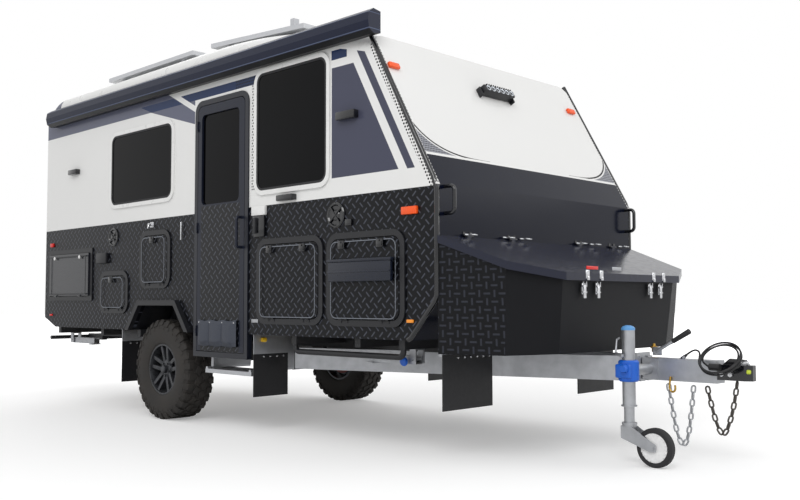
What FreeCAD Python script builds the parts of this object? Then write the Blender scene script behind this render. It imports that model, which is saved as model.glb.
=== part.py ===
"""Off-road camper trailer with a hard body, one axle and an A-frame drawbar.

Millimetres. +X forward to the coupling, +Y left, +Z up. The origin is on the ground,
midway between the spare wheel and the coupling, on the body's centre plane.
"""
import FreeCAD, Part
import math
import os

V = FreeCAD.Vector

# ---------------------------------------------------------------- body shell
BODY_WIDTH = 2190.0
WALL = 30.0                    # sandwich walls, roof and floor
REAR_X = -3073.0               # outer face of the rear wall
FRONT_X = 2017.0               # outer face of the lower front wall
FLOOR_Z = 712.0                # underside of the floor
ROOF_Z = 2905.0                # top of the flat roof
ROOF_BEND_X = -313.0           # where the flat roof starts to curve down
ROOF_FRONT_X = 1457.0          # front edge of the roof
ROOF_FALL_RADIUS = 6250.0      # radius of the roof's front curve
ROOF_EDGE_RADIUS = 110.0       # rounding along the roof's long edges
ROOF_FLANGE = 125.0            # depth of the roof moulding at the side walls
KNEE_Z = 1640.0                # where the front wall starts to lean back
REAR_TOP_CUT_X = 260.0         # slanted corner between rear wall and roof
REAR_TOP_CUT_Z = 225.0
REAR_LOW_CUT_X = 230.0
REAR_LOW_CUT_Z = 88.0
FRONT_LOW_CUT_X = 230.0
FRONT_LOW_CUT_Z = 262.0
HALF = BODY_WIDTH / 2
INNER = HALF - WALL

# ---------------------------------------------------------------- fits
GAP = 5.0                      # between a moving leaf and its frame
SEAT = 0.3                     # running gap of a pin, knuckle or bearing

# ---------------------------------------------------------------- wheels
TYRE_DIAMETER = 804.0
TYRE_WIDTH = 265.0
TYRE_WALL = 16.0
TYRE_TREAD = 24.0
RIM_DIAMETER = 407.0
RIM_SHEET = 8.0
RIM_SPOKES = 5
DISC_OFFSET = 45.0             # wheel disc outward of the tyre's middle
WHEEL_INSET = 8.0              # tyre's outer face inside the wall face
AXLE_X = -993.0
HUB_RADIUS = 52.0
DRUM_RADIUS = 142.0
DRUM_WIDTH = 78.0
STUB_RADIUS = 24.0
ARM_WIDTH = 60.0
ARM_CLEAR = 20.0               # tyre's inner face to the trailing arm
SPRING_SEAT_Z = 72.0           # above the axle
DAMPER_RADIUS = 22.0
DAMPER_SEAT = 12.0             # a leaning damper's end, from the face that carries it
AXLE_Z = TYRE_DIAMETER / 2
WHEEL_Y = HALF - WHEEL_INSET - TYRE_WIDTH / 2
TYRE_RADIUS = TYRE_DIAMETER / 2
RIM_RADIUS = RIM_DIAMETER / 2

# wheel arch: a trapezoid in the side wall, with a tub inside
ARCH_TOP_Z = 917.0
ARCH_TOP_LENGTH = 530.0
ARCH_LOW_LENGTH = 850.0
ARCH_SHIFT_X = -15.0
ARCH_LIP = 42.0
ARCH_LIP_DEPTH = 40.0
TUB_SHEET = 6.0
TUB_SIDE_GAP = 50.0            # tyre's inner face to the tub's side

# ---------------------------------------------------------------- openings
FRAME_PROUD = 12.0             # hatch and door frames stand off the wall
FRAME_WIDTH = 40.0
HINGE_RADIUS = 6.0
HINGE_LENGTH = 40.0
HINGE_TAB = 22.0
HATCH_RADIUS = 100.0           # outer corners of a hatch frame
TABLE_RADIUS = 12.0
# x0, x1, z0, z1 of each frame's outside
DOOR = (-490.0, 197.0, 531.0, 2495.0)
RIGHT_HATCHES = {
    "right_front_hatch": (1057.0, 1766.0, 788.0, 1388.0),
    "right_middle_hatch": (302.0, 1017.0, 788.0, 1388.0),
    "right_tall_hatch": (-1305.0, -838.0, 1056.0, 1531.0),
    "right_rear_hatch": (-1981.0, -1493.0, 848.0, 1214.0),
}
LEFT_HATCHES = {
    "left_front_hatch": (1057.0, 1766.0, 788.0, 1388.0),
    "left_rear_hatch": (-2881.0, -2093.0, 848.0, 1388.0),
}
TABLE = (-2989.0, -2124.0, 958.0, 1433.0)
TABLE_THICK = 24.0
RIGHT_WINDOWS = {
    "rear": (-1794.0, -827.0, 1785.0, 2390.0),
    "front": (295.0, 1053.0, 1734.0, 2578.0),
}
LEFT_WINDOWS = {
    "rear": (-2250.0, -1283.0, 1785.0, 2390.0),
    "middle": (-520.0, 238.0, 1785.0, 2390.0),
    "front": (620.0, 1378.0, 1785.0, 2390.0),
}
WINDOW_RADIUS = 70.0
WINDOW_FRAME = 32.0
WINDOW_PROUD = 14.0
PANE = 8.0
DOOR_RADIUS = 90.0
DOOR_GLASS = (-398.0, 86.0, 1686.0, 2381.0)

# ---------------------------------------------------------------- roof
SOLAR_TOP_Z = 82.0             # above the roof
SOLAR_THICK = 35.0
SOLAR_EDGE = 120.0             # from the wall's outer face
SOLAR_WIDTH = 1010.0
SOLAR_PANELS = ((-2113.0, -743.0), (-483.0, 657.0))
VENT_X = -1150.0
VENT_Y = 620.0
VENT_SIZE = 400.0
VENT_LID = 60.0
VENT_PLATE = 18.0

# ---------------------------------------------------------------- chassis
RAIL_DEPTH = 100.0
RAIL_WIDTH = 50.0
RAIL_Y = 560.0
RAIL_REAR_X = -2900.0
RAIL_FRONT_X = 1700.0
BEAM_DEPTH = 60.0
CROSS_X = (-2875.0, -2050.0, -1420.0, -610.0, 0.0, 640.0, 1280.0, 1675.0)
FRAME_RAIL_DEPTH = 150.0       # A-frame rails under the main rails
FRAME_RAIL_WIDTH = 50.0
FRAME_REAR_X = 390.0
FRAME_REAR_Y = 820.0           # outer face of the A-frame at its rear end
NOSE_X = 2727.0                # rear end of the nose beam
NOSE_REAR_Y = 78.0             # outer face of the A-frame at the nose
NOSE_WIDTH = 100.0
NOSE_DEPTH = 130.0
NOSE_LENGTH = 490.0
RAIL_TOP_Z = FLOOR_Z
RAIL_LOW_Z = RAIL_TOP_Z - RAIL_DEPTH
FRAME_LOW_Z = RAIL_LOW_Z - FRAME_RAIL_DEPTH
NOSE_END_X = NOSE_X + NOSE_LENGTH

# coupling
COUPLING_LENGTH = 196.0
COUPLING_WIDTH = 92.0
COUPLING_HEIGHT = 88.0
COUPLING_PIN_RADIUS = 19.0
CABLE_RADIUS = 5.5
# the lead's route, from its slanted gland on the nose beam to the coil
CABLE_ROUTE = ((3010.0, -20.0, 622.0), (3038.0, -20.0, 645.0), (3078.0, -30.0, 662.0),
               (3112.0, -50.0, 655.0), (3130.0, -78.0, 636.0))
GLAND_LENGTH = 42.0
COIL_CENTRE = (3245.0, -71.0, 618.0)
COIL_RADIUS = 115.0
COIL_BUNDLE = 24.0             # radius of the bundle of turns
COIL_TILT = 45.0
PLUG_RADIUS = 20.0
PLUG_LENGTH = 62.0
PLUG_REACH = 40.0              # plug's start behind the coil's centre
PLUG_INSET = 64.0              # plug's axis below the coil's centre, in its plane
CHAIN_RADIUS = 11.0
CHAIN_Y = -18.0

# ---------------------------------------------------------------- front box
BOX_REAR_Z = 1335.0            # lid's top at the front wall
BOX_FRONT_Z = 1112.0           # lid's top at its front edge
BOX_LENGTH = 608.0
BOX_SIDE_LENGTH = 450.0
BOX_CORNER_INSET = 80.0
BOX_FRONT_INSET = 427.0
BOX_LOW_Z = 640.0
BOX_TAPER = 75.0               # the box is this much shorter at its bottom
BOX_SHEET = 4.0
LID_RIM = 46.0
LID_OVERHANG = 9.0

# ---------------------------------------------------------------- jockey wheel
JOCKEY_X = 2790.0
JOCKEY_Y = -285.0
JOCKEY_TOP_Z = 785.0
JOCKEY_TUBE_LOW_Z = 334.0
JOCKEY_TUBE_RADIUS = 38.0
JOCKEY_INNER_RADIUS = 30.0
JOCKEY_INNER_LOW_Z = 238.0
JOCKEY_WHEEL_RADIUS = 112.0
JOCKEY_WHEEL_WIDTH = 50.0
JOCKEY_TRAIL = 165.0
JOCKEY_CLAMP_Z = 540.0

# ---------------------------------------------------------------- rear
BUMPER_X = -3190.0
BUMPER_Z = 600.0
BUMPER_TUBE = 38.0
SPARE_Z = 1120.0
SPARE_Y = 0.0
CARRIER_GAP = 20.0             # spare wheel's post to the rear wall
CARRIER_DEPTH = 40.0


# ================================================================ helpers
def box(x0, x1, y0, y1, z0, z1):
    return Part.makeBox(x1 - x0, y1 - y0, z1 - z0, V(x0, y0, z0))


def rod(start, end, radius):
    axis = V(*end) - V(*start)
    return Part.makeCylinder(radius, axis.Length, V(*start), axis)


def pipe(start, end, radius, wall):
    return rod(start, end, radius).cut(rod(start, end, radius - wall))


def prism_xz(points, y0, y1):
    """An outline in x and z, made solid from y0 to y1."""
    corners = [V(x, y0, z) for x, z in points]
    face = Part.Face(Part.makePolygon(corners + corners[:1]))
    return face.extrude(V(0, y1 - y0, 0))


def prism_xy(points, z0, z1):
    corners = [V(x, y, z0) for x, y in points]
    face = Part.Face(Part.makePolygon(corners + corners[:1]))
    return face.extrude(V(0, 0, z1 - z0))


def rounded_xz(x0, x1, z0, z1, radius, y0, y1):
    """A panel between y0 and y1 with four round corners."""
    solid = box(x0, x1, y0, y1, z0, z1)
    edges = [e for e in solid.Edges if abs(e.tangentAt(e.FirstParameter).y) > 0.99]
    return solid.makeFillet(radius, edges)


def mirrored(shape):
    return shape.mirror(V(0, 0, 0), V(0, 1, 0))


def both_sides(shape):
    """The shape and its mirror image on the other side of the trailer."""
    return [shape, mirrored(shape)]


def fused(shapes):
    first = shapes[0]
    return first.multiFuse(shapes[1:]).removeSplitter() if shapes[1:] else first


def largest_arc(before, corner, after):
    """Radius of the largest arc that its two runs leave room for."""
    half_turn = (corner - before).getAngle(after - corner) / 2
    run = min((corner - before).Length, (after - corner).Length)
    return 0.45 * run / math.tan(half_turn)


def bent_tube(points, radius, bend=None):
    """Straight runs joined by tangent arcs, swept with a round section."""
    stops = [V(*p) for p in points]
    edges = []
    last = stops[0]
    for before, corner, after in zip(stops, stops[1:], stops[2:]):
        incoming = (corner - before).normalize()
        outgoing = (after - corner).normalize()
        half_turn = incoming.getAngle(outgoing) / 2
        arc_radius = bend or largest_arc(before, corner, after)
        cut = arc_radius * math.tan(half_turn)
        start = corner - incoming * cut
        end = corner + outgoing * cut
        towards = (outgoing - incoming).normalize()
        centre = corner + towards * (arc_radius / math.cos(half_turn))
        middle = centre - towards * arc_radius
        if (start - last).Length > 1e-6:
            edges.append(Part.LineSegment(last, start).toShape())
        edges.append(Part.Arc(start, middle, end).toShape())
        last = end
    edges.append(Part.LineSegment(last, stops[-1]).toShape())
    path = Part.Wire(edges)
    heading = (stops[1] - stops[0]).normalize()
    section = Part.Wire([Part.makeCircle(radius, stops[0], heading)])
    return path.makePipeShell([section], True, False)


def save(name, shapes):
    """Write one sub-part's solids to its STEP file."""
    solids = []
    for shape in shapes:
        solids.extend(shape.Solids)
    broken = [s for s in solids if not s.isValid() or s.Volume < 1]
    if broken or not solids:
        raise ValueError("bad solid in " + name)
    result = solids[0] if len(solids) == 1 else Part.Compound(solids)
    result.exportStep("parts/" + name + ".step")
    print(name, len(solids), round(sum(s.Volume for s in solids) / 1e6, 2), "litres")


# ================================================================ body shell
def fall(x, drop=0.0):
    """Height of the roof's curved front part at x."""
    centre_z = ROOF_Z - ROOF_FALL_RADIUS
    radius = ROOF_FALL_RADIUS - drop
    return centre_z + math.sqrt(radius ** 2 - (x - ROOF_BEND_X) ** 2)


def roof_height(x):
    return ROOF_Z if x < ROOF_BEND_X else fall(x)


def body_profile():
    """The body's outline in the side view, as one closed wire at y = 0."""
    middle_x = (ROOF_BEND_X + ROOF_FRONT_X) / 2
    low = [
        (ROOF_FRONT_X, fall(ROOF_FRONT_X)),
        (FRONT_X, KNEE_Z),
        (FRONT_X, FLOOR_Z + FRONT_LOW_CUT_Z),
        (FRONT_X - FRONT_LOW_CUT_X, FLOOR_Z),
        (REAR_X + REAR_LOW_CUT_X, FLOOR_Z),
        (REAR_X, FLOOR_Z + REAR_LOW_CUT_Z),
        (REAR_X, ROOF_Z - REAR_TOP_CUT_Z),
        (REAR_X + REAR_TOP_CUT_X, ROOF_Z),
        (ROOF_BEND_X, ROOF_Z),
    ]
    corners = [V(x, 0, z) for x, z in low]
    edges = [Part.LineSegment(a, b).toShape() for a, b in zip(corners, corners[1:])]
    crown = V(middle_x, 0, fall(middle_x))
    edges.append(Part.Arc(corners[-1], crown, corners[0]).toShape())
    return Part.Wire(edges)


def body_block(inset, half_width):
    """The body's full outline pulled in by inset, with rounded long roof edges."""
    wire = body_profile()
    if inset:
        wire = wire.makeOffset2D(-inset, 2)
    wire = wire.copy()
    wire.translate(V(0, -half_width, 0))
    block = Part.Face(wire).extrude(V(0, 2 * half_width, 0))
    flat_z = ROOF_Z - inset - 1
    limit = ROOF_FRONT_X - WALL
    long_edges = []
    for edge in block.Edges:
        box_ = edge.BoundBox
        along = box_.XLength > 500 and box_.YLength < 1
        if along and box_.ZMax > flat_z and box_.XMin > REAR_X + REAR_TOP_CUT_X - 60:
            if box_.XMax < limit + 60:
                long_edges.append(edge)
    return block.makeFillet(ROOF_EDGE_RADIUS - inset, long_edges)


def shell_parts():
    """Roof, walls and floor, cut from one hollow body along their real seams."""
    outer = body_block(0, HALF)
    shell = outer.cut(body_block(WALL, INNER))
    rear_seam = REAR_X + REAR_TOP_CUT_X
    floor_front = FRONT_X - FRONT_LOW_CUT_X
    floor_rear = REAR_X + REAR_LOW_CUT_X
    far = 2 * BODY_WIDTH
    top = ROOF_Z + 100
    lowered = Part.Face(body_profile()).extrude(V(0, 2 * far, 0))
    lowered.translate(V(0, -far, -ROOF_FLANGE))
    roof_zone = box(rear_seam, ROOF_FRONT_X, -far, far, KNEE_Z, top).cut(lowered)
    inside = box(REAR_X - 10, FRONT_X + 10, -INNER, INNER, 0, top)
    centre = box(rear_seam, ROOF_FRONT_X, -INNER, INNER, KNEE_Z, top)
    roof = shell.common(fused([roof_zone, centre]))
    rest = shell.cut(roof)
    middle = rest.common(inside)
    sides = rest.cut(inside)
    right = sides.common(box(REAR_X, FRONT_X, -HALF, -INNER, 0, top))
    left = sides.common(box(REAR_X, FRONT_X, INNER, HALF, 0, top))
    rear = middle.common(fused([box(REAR_X, floor_rear, -far, far, 0, top),
                                box(REAR_X, rear_seam, -far, far, KNEE_Z, top)]))
    floor = middle.common(box(floor_rear, floor_front, -far, far, 0, KNEE_Z))
    front = middle.common(box(floor_front, FRONT_X, -far, far, 0, KNEE_Z))
    upper = middle.common(box(rear_seam, FRONT_X, -far, far, KNEE_Z, top))
    return roof, right, left, rear, floor, front, upper


def arch_outline(margin=0.0, depth=0.0):
    """The wheel arch's trapezoid, grown by margin and run down past the floor."""
    middle = AXLE_X + ARCH_SHIFT_X
    rise = ARCH_TOP_Z - FLOOR_Z
    lean = (ARCH_LOW_LENGTH - ARCH_TOP_LENGTH) / 2
    side = margin * math.hypot(rise, lean) / rise
    slope = lean / rise
    top_half = ARCH_TOP_LENGTH / 2 + side - margin * slope
    low_half = ARCH_LOW_LENGTH / 2 + side + depth * slope
    return [
        (middle - low_half, FLOOR_Z - depth),
        (middle - top_half, ARCH_TOP_Z + margin),
        (middle + top_half, ARCH_TOP_Z + margin),
        (middle + low_half, FLOOR_Z - depth),
    ]


def opening(outline, radius, y0, y1):
    """A block with round corners if it has a radius, square ones if not."""
    x0, x1, z0, z1 = outline
    if radius <= 0:
        return box(x0, x1, y0, y1, z0, z1)
    return rounded_xz(x0, x1, z0, z1, radius, y0, y1)


def leaf_box(frame, extra=0.0):
    """The leaf inside a frame: x0, x1, z0, z1, grown by extra."""
    inset = FRAME_WIDTH + GAP - extra
    x0, x1, z0, z1 = frame
    return x0 + inset, x1 - inset, z0 + inset, z1 - inset


def cut_hatches(wall, frames):
    for frame in frames:
        radius = HATCH_RADIUS - FRAME_WIDTH
        wall = wall.cut(opening(leaf_box(frame, GAP), radius, -HALF - 50, -INNER + 50))
    return wall


def cut_windows(wall, windows):
    for x0, x1, z0, z1 in windows:
        pane = rounded_xz(x0, x1, z0, z1, WINDOW_RADIUS, -HALF - 50, -INNER + 50)
        wall = wall.cut(pane)
    return wall


def right_wall(wall):
    arch = prism_xz(arch_outline(0, 10), -HALF - 50, -INNER + 50)
    hole = leaf_box(DOOR, GAP)
    doorway = box(hole[0], hole[1], -HALF - 50, -INNER + 50, hole[2], hole[3])
    wall = wall.cut(arch).cut(doorway)
    wall = cut_hatches(wall, RIGHT_HATCHES.values())
    return cut_windows(wall, RIGHT_WINDOWS.values())


def left_wall(wall):
    wall = mirrored(wall)
    wall = wall.cut(prism_xz(arch_outline(0, 10), -HALF - 50, -INNER + 50))
    wall = cut_hatches(wall, LEFT_HATCHES.values())
    return mirrored(cut_windows(wall, LEFT_WINDOWS.values()))


def tub_inner_y():
    return WHEEL_Y - TYRE_WIDTH / 2 - TUB_SIDE_GAP


def floor_panel(floor):
    outline = arch_outline(TUB_SHEET, 10)
    notch = prism_xz(outline, -HALF, -tub_inner_y() + TUB_SHEET)
    doorway = box(DOOR[0], DOOR[1], -HALF, -INNER + GAP, 0, KNEE_Z)
    return floor.cut(notch).cut(mirrored(notch)).cut(doorway)


def wheel_tub():
    """Sheet box over the wheel, between the side wall and its inner side."""
    inner = prism_xz(arch_outline(0, 0), -HALF, -tub_inner_y())
    outer = prism_xz(arch_outline(TUB_SHEET, 0), -INNER, -tub_inner_y() + TUB_SHEET)
    return outer.cut(inner)


def arch_trim():
    """Raised lip around the wheel arch on the wall's outer face."""
    face = -HALF
    lip = prism_xz(arch_outline(ARCH_LIP), face - ARCH_LIP_DEPTH, face)
    hole = prism_xz(arch_outline(0, 10), face - 100, face + 100)
    return lip.cut(hole)


# ================================================================ doors and hatches
def frame_ring(frame, radius=HATCH_RADIUS):
    """The raised frame around a hatch, on the right wall's outer face."""
    hole = leaf_box(frame, GAP)
    ring = opening(frame, radius, -HALF - FRAME_PROUD, -HALF)
    return ring.cut(opening(hole, radius - FRAME_WIDTH, -HALF - 50, -HALF + 50))


def knuckles(along, leaf_up, axis_y, face_y):
    """One hinge along x: the moving knuckle and its two fixed neighbours."""
    x, z = along
    half = HINGE_LENGTH / 2
    up = 1 if leaf_up else -1
    barrel = rod((x - half, axis_y, z), (x + half, axis_y, z), HINGE_RADIUS)
    tab_low, tab_high = sorted((z, z + up * HINGE_TAB))
    tab = box(x - half, x + half, face_y - 3, face_y, tab_low + 2.8, tab_high)
    moving = fused([barrel, box(x - half, x + half, axis_y, face_y, z, z + 3), tab])
    fixed = []
    for side in (-1, 1):
        near = x + side * (half + SEAT)
        end = near + side * half
        low, high = sorted((near, end))
        pin = rod((low, axis_y, z), (high, axis_y, z), HINGE_RADIUS)
        web = box(low, high, axis_y, face_y, z - 3, z)
        foot = box(low, high, face_y - 3, face_y, z - HINGE_TAB, z - 2.8)
        fixed.append(fused([pin, web, foot]))
    return moving, fixed


def hatch_leaf(frame, face_y, depth, frame_radius=0.0):
    """A bottom-hinged leaf with its moving knuckles, and the fixed knuckles."""
    x0, x1, z0, z1 = leaf_box(frame)
    radius = frame_radius - FRAME_WIDTH - GAP
    leaf = opening((x0, x1, z0, z1), radius, face_y, face_y + depth)
    axis_y = face_y - HINGE_RADIUS - 1
    axis_z = z0 - GAP / 2
    moving = [leaf]
    fixed = []
    for share in (0.2, 0.8):
        knuckle, neighbours = knuckles((x0 + share * (x1 - x0), axis_z), True, axis_y, face_y)
        moving.append(knuckle)
        fixed.extend(neighbours)
    return fused(moving), fixed


def wall_leaf_depth():
    return WALL + FRAME_PROUD


def upright(shape, pivot_x):
    """Turn a bottom-hinged leaf onto its side, so that its hinge is at the rear."""
    turned = shape.copy()
    turned.rotate(V(pivot_x, 0, 0), V(0, 1, 0), 90)
    return turned


def door_hinges(door_x, door_z, face_y):
    """Vertical knuckles at the door's rear edge: moving ones and fixed ones."""
    axis_x = door_x - GAP / 2
    axis_y = face_y - HINGE_RADIUS - 1
    moving = []
    fixed = []
    for z in door_z:
        knuckle, neighbours = knuckles((0.0, 0.0), True, axis_y, face_y)
        for shape, group in [(knuckle, moving)] + [(n, fixed) for n in neighbours]:
            turned = upright(shape, 0.0)
            turned.translate(V(axis_x, 0, z))
            group.append(turned)
    return moving, fixed


def door_outline(x0, x1, z0, z1, radius, y0, y1):
    """A door shape: round top corners, square bottom corners."""
    top = rounded_xz(x0, x1, z0, z1, radius, y0, y1)
    return fused([top, box(x0, x1, y0, y1, z0, z0 + 2 * radius)])


def entry_door():
    """Door leaf with its moving knuckles; its glass, its handle and the fixed knuckles."""
    face_y = -HALF - FRAME_PROUD
    x0, x1, z0, z1 = leaf_box(DOOR)
    leaf = door_outline(x0, x1, z0, z1, DOOR_RADIUS - FRAME_WIDTH, face_y, -INNER)
    gx0, gx1, gz0, gz1 = DOOR_GLASS
    window = rounded_xz(gx0, gx1, gz0, gz1, 40, face_y - 50, -INNER + 50)
    heights = [z0 + 150, (z0 + z1) / 2, z1 - 150]
    moving, fixed = door_hinges(x0, heights, face_y)
    leaf = fused([leaf.cut(window)] + moving)
    middle = (face_y - INNER) / 2
    glass = rounded_xz(gx0, gx1, gz0, gz1, 40, middle - PANE / 2, middle + PANE / 2)
    grip_x = x1 - 30
    low_z, high_z = 1342.0, 1560.0
    out = face_y - 45
    handle = bent_tube([(grip_x, face_y, low_z), (grip_x, out, low_z),
                        (grip_x, out, high_z), (grip_x, face_y, high_z)], 11, 18)
    return leaf, glass, handle, fixed


def door_frame():
    """The door's surround, from the wall's inner face to its proud outer edge."""
    x0, x1, z0, z1 = DOOR
    hole = leaf_box(DOOR, GAP)
    face_y = -HALF - FRAME_PROUD
    proud = door_outline(x0, x1, z0, z1, DOOR_RADIUS, face_y, -HALF)
    skirt = box(x0, x1, -HALF, -INNER, z0, FLOOR_Z)
    ring = fused([proud, skirt])
    radius = DOOR_RADIUS - FRAME_WIDTH
    return ring.cut(door_outline(*hole, radius, face_y - 50, -INNER + 50))


def doorway_corners():
    """Fill the door hole's square top corners behind the rounded door."""
    hole = leaf_box(DOOR, GAP)
    square = box(hole[0], hole[1], -HALF, -INNER, hole[3] - 2 * DOOR_RADIUS, hole[3])
    radius = DOOR_RADIUS - FRAME_WIDTH
    return square.cut(door_outline(*hole, radius, -HALF - 50, -INNER + 50))


def window_set(windows):
    """Frames and panes of one wall's windows, on the right-hand side."""
    frames = []
    panes = []
    for x0, x1, z0, z1 in windows:
        grow = WINDOW_FRAME
        ring = rounded_xz(x0 - grow, x1 + grow, z0 - grow, z1 + grow,
                          WINDOW_RADIUS + grow, -HALF - WINDOW_PROUD, -HALF)
        hole = rounded_xz(x0, x1, z0, z1, WINDOW_RADIUS, -HALF - 50, -HALF + 50)
        frames.append(ring.cut(hole))
        out = -HALF - WINDOW_PROUD / 2
        panes.append(rounded_xz(x0, x1, z0, z1, WINDOW_RADIUS, out, out + PANE))
    return frames, panes


# ================================================================ wheels
def tyre_solid():
    """A hollow tyre about the y axis, with rounded shoulders and open beads."""
    r1 = TYRE_RADIUS
    r0 = RIM_RADIUS + SEAT
    w = TYRE_WIDTH / 2
    shoulder = 34.0
    bead = RIM_RADIUS * 0.2
    profile = [
        (r0, -w + 22), (r0 + bead, -w), (r1 - shoulder, -w), (r1, -w + shoulder),
        (r1, w - shoulder), (r1 - shoulder, w), (r0 + bead, w), (r0, w - 22),
        (r0, w - 22 - TYRE_WALL), (r0 + bead, w - TYRE_WALL),
        (r1 - shoulder - 8, w - TYRE_WALL), (r1 - TYRE_TREAD, w - shoulder - 8),
        (r1 - TYRE_TREAD, -w + shoulder + 8), (r1 - shoulder - 8, -w + TYRE_WALL),
        (r0 + bead, -w + TYRE_WALL), (r0, -w + 22 + TYRE_WALL),
    ]
    corners = [V(r, y, 0) for r, y in profile]
    face = Part.Face(Part.makePolygon(corners + corners[:1]))
    return face.revolve(V(0, 0, 0), V(0, 1, 0), 360)


def rim_solid():
    """Barrel with a dished spoked disc towards -y, about the y axis."""
    w = TYRE_WIDTH / 2 - 22
    r = RIM_RADIUS
    barrel = rod((0, -w, 0), (0, w, 0), r).cut(rod((0, -w, 0), (0, w, 0), r - RIM_SHEET))
    front = -DISC_OFFSET
    disc = rod((0, front, 0), (0, front + 22, 0), r - RIM_SHEET)
    hub = rod((0, front - 12, 0), (0, front + 22, 0), 74)
    body = fused([barrel, disc, hub])
    for index in range(RIM_SPOKES):
        angle = 2 * math.pi * (index + 0.5) / RIM_SPOKES
        window = Part.makeCylinder(38, 200, V(0, front - 100, 0), V(0, 1, 0))
        window.translate(V(138 * math.sin(angle), 0, 138 * math.cos(angle)))
        body = body.cut(window)
    return body


def hub_solid():
    """Brake drum, hub and dust cap, about the y axis."""
    back = -DISC_OFFSET + 22
    drum = rod((0, back, 0), (0, back + DRUM_WIDTH, 0), DRUM_RADIUS)
    nose = rod((0, -DISC_OFFSET - 26, 0), (0, back, 0), HUB_RADIUS)
    cap = rod((0, -DISC_OFFSET - 70, 0), (0, -DISC_OFFSET - 26, 0), 36)
    solid = fused([drum, nose, cap])
    bore = rod((0, back - 30, 0), (0, back + DRUM_WIDTH + 1, 0), STUB_RADIUS + SEAT)
    return solid, bore


def wheel_solid():
    """Rim with its hub and brake drum, bored for the stub axle."""
    hub, bore = hub_solid()
    return fused([rim_solid(), hub]).cut(bore)


def at_wheel(shape):
    """Place a wheel part at the right-hand hub."""
    placed = shape.copy()
    placed.translate(V(AXLE_X, -WHEEL_Y, AXLE_Z))
    return placed


# ================================================================ suspension
def trailing_arm():
    """Arm from its pivot under the main rail back to the stub axle."""
    pivot_x = AXLE_X + 470
    pivot_z = FRAME_LOW_Z + 62
    inner_y = -RAIL_Y - RAIL_WIDTH / 2 - 12
    plate_y = -WHEEL_Y - DISC_OFFSET + 22 + DRUM_WIDTH + GAP
    arm_y = arm_middle()
    boss = rod((pivot_x, arm_y - 40, pivot_z), (pivot_x, inner_y, pivot_z), 38)
    beam = prism_xz([(pivot_x, pivot_z - 34), (pivot_x, pivot_z + 34),
                     (AXLE_X - 40, AXLE_Z + 42), (AXLE_X - 40, AXLE_Z - 42)],
                    arm_y - ARM_WIDTH / 2, arm_y + ARM_WIDTH / 2)
    plate = rod((AXLE_X, plate_y, AXLE_Z), (AXLE_X, plate_y + 8, AXLE_Z), DRUM_RADIUS)
    stub = rod((AXLE_X, -WHEEL_Y - DISC_OFFSET - 5, AXLE_Z),
               (AXLE_X, arm_y, AXLE_Z), STUB_RADIUS)
    sleeve = rod((AXLE_X, plate_y, AXLE_Z), (AXLE_X, arm_y, AXLE_Z), 44)
    seat = box(AXLE_X - 60, AXLE_X + 90, arm_y - 30, arm_y + 75,
               AXLE_Z + 20, AXLE_Z + SPRING_SEAT_Z)
    return fused([boss, beam, plate, stub, sleeve, seat])


def spring_post(y_middle):
    """Plain envelope of the coil spring between arm and chassis."""
    low = AXLE_Z + SPRING_SEAT_Z
    high = FLOOR_Z - BEAM_DEPTH
    x = AXLE_X + 20
    return pipe((x, y_middle, low), (x, y_middle, high), 52, 12)


def shock_absorber():
    """Damper from the arm's end up to the chassis."""
    y = arm_middle() + 48
    low = (AXLE_X - 52, y, AXLE_Z + SPRING_SEAT_Z + DAMPER_SEAT)
    high = (AXLE_X - 150, y, FLOOR_Z - BEAM_DEPTH - DAMPER_SEAT)
    return rod(low, high, DAMPER_RADIUS)


def arm_middle():
    """y of the right trailing arm's beam, inboard of the tyre."""
    return -WHEEL_Y + TYRE_WIDTH / 2 + ARM_CLEAR + ARM_WIDTH / 2


# ================================================================ chassis
def rail_spans(half):
    """The stretches of a cross beam outside and between the two main rails."""
    near = RAIL_Y - RAIL_WIDTH / 2 - SEAT
    far = RAIL_Y + RAIL_WIDTH / 2 + SEAT
    return [(-half, -far), (-near, near), (far, half)]


def chassis_frame():
    """Two main rails, cross beams, pivot hangers and spring seats, each a plain bar."""
    parts = []
    for y in (-RAIL_Y, RAIL_Y):
        parts.append(box(RAIL_REAR_X, RAIL_FRONT_X, y - RAIL_WIDTH / 2,
                         y + RAIL_WIDTH / 2, RAIL_LOW_Z, RAIL_TOP_Z))
    beams = []
    for x in CROSS_X:
        inside_arch = abs(x - AXLE_X) < ARCH_LOW_LENGTH / 2
        half = tub_inner_y() - 20 if inside_arch else INNER - 30
        beams.append((x - 25, x + 25, half))
    seat_y = WHEEL_Y - TYRE_WIDTH / 2 - ARM_CLEAR
    beams.append((AXLE_X - 190, AXLE_X + 100, seat_y))
    for x0, x1, half in beams:
        for y0, y1 in rail_spans(half):
            parts.append(box(x0, x1, y0, y1, FLOOR_Z - BEAM_DEPTH, FLOOR_Z))
    pivot_x = AXLE_X + 470
    for side in (-1, 1):
        y0, y1 = sorted((side * (RAIL_Y - 25), side * (RAIL_Y + RAIL_WIDTH / 2 + 12)))
        parts.append(box(pivot_x - 60, pivot_x + 60, y0, y1,
                         FRAME_LOW_Z + 10, RAIL_LOW_Z - SEAT))
    return parts


def frame_line(side):
    """Plan corners of one A-frame rail, from its rear end to the nose."""
    run = NOSE_X - FRAME_REAR_X
    slope = (FRAME_REAR_Y - NOSE_REAR_Y) / run
    across = FRAME_RAIL_WIDTH * math.hypot(1, slope)
    rear, nose = FRAME_REAR_Y, NOSE_REAR_Y
    end_x = NOSE_X + 20
    end = nose - slope * 20
    return [
        (FRAME_REAR_X, side * rear), (end_x, side * end),
        (end_x, side * max(end - across, 0)), (NOSE_X - 40, side * max(nose + slope * 40 - across, 0)),
        (FRAME_REAR_X, side * (rear - across)),
    ]


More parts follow.
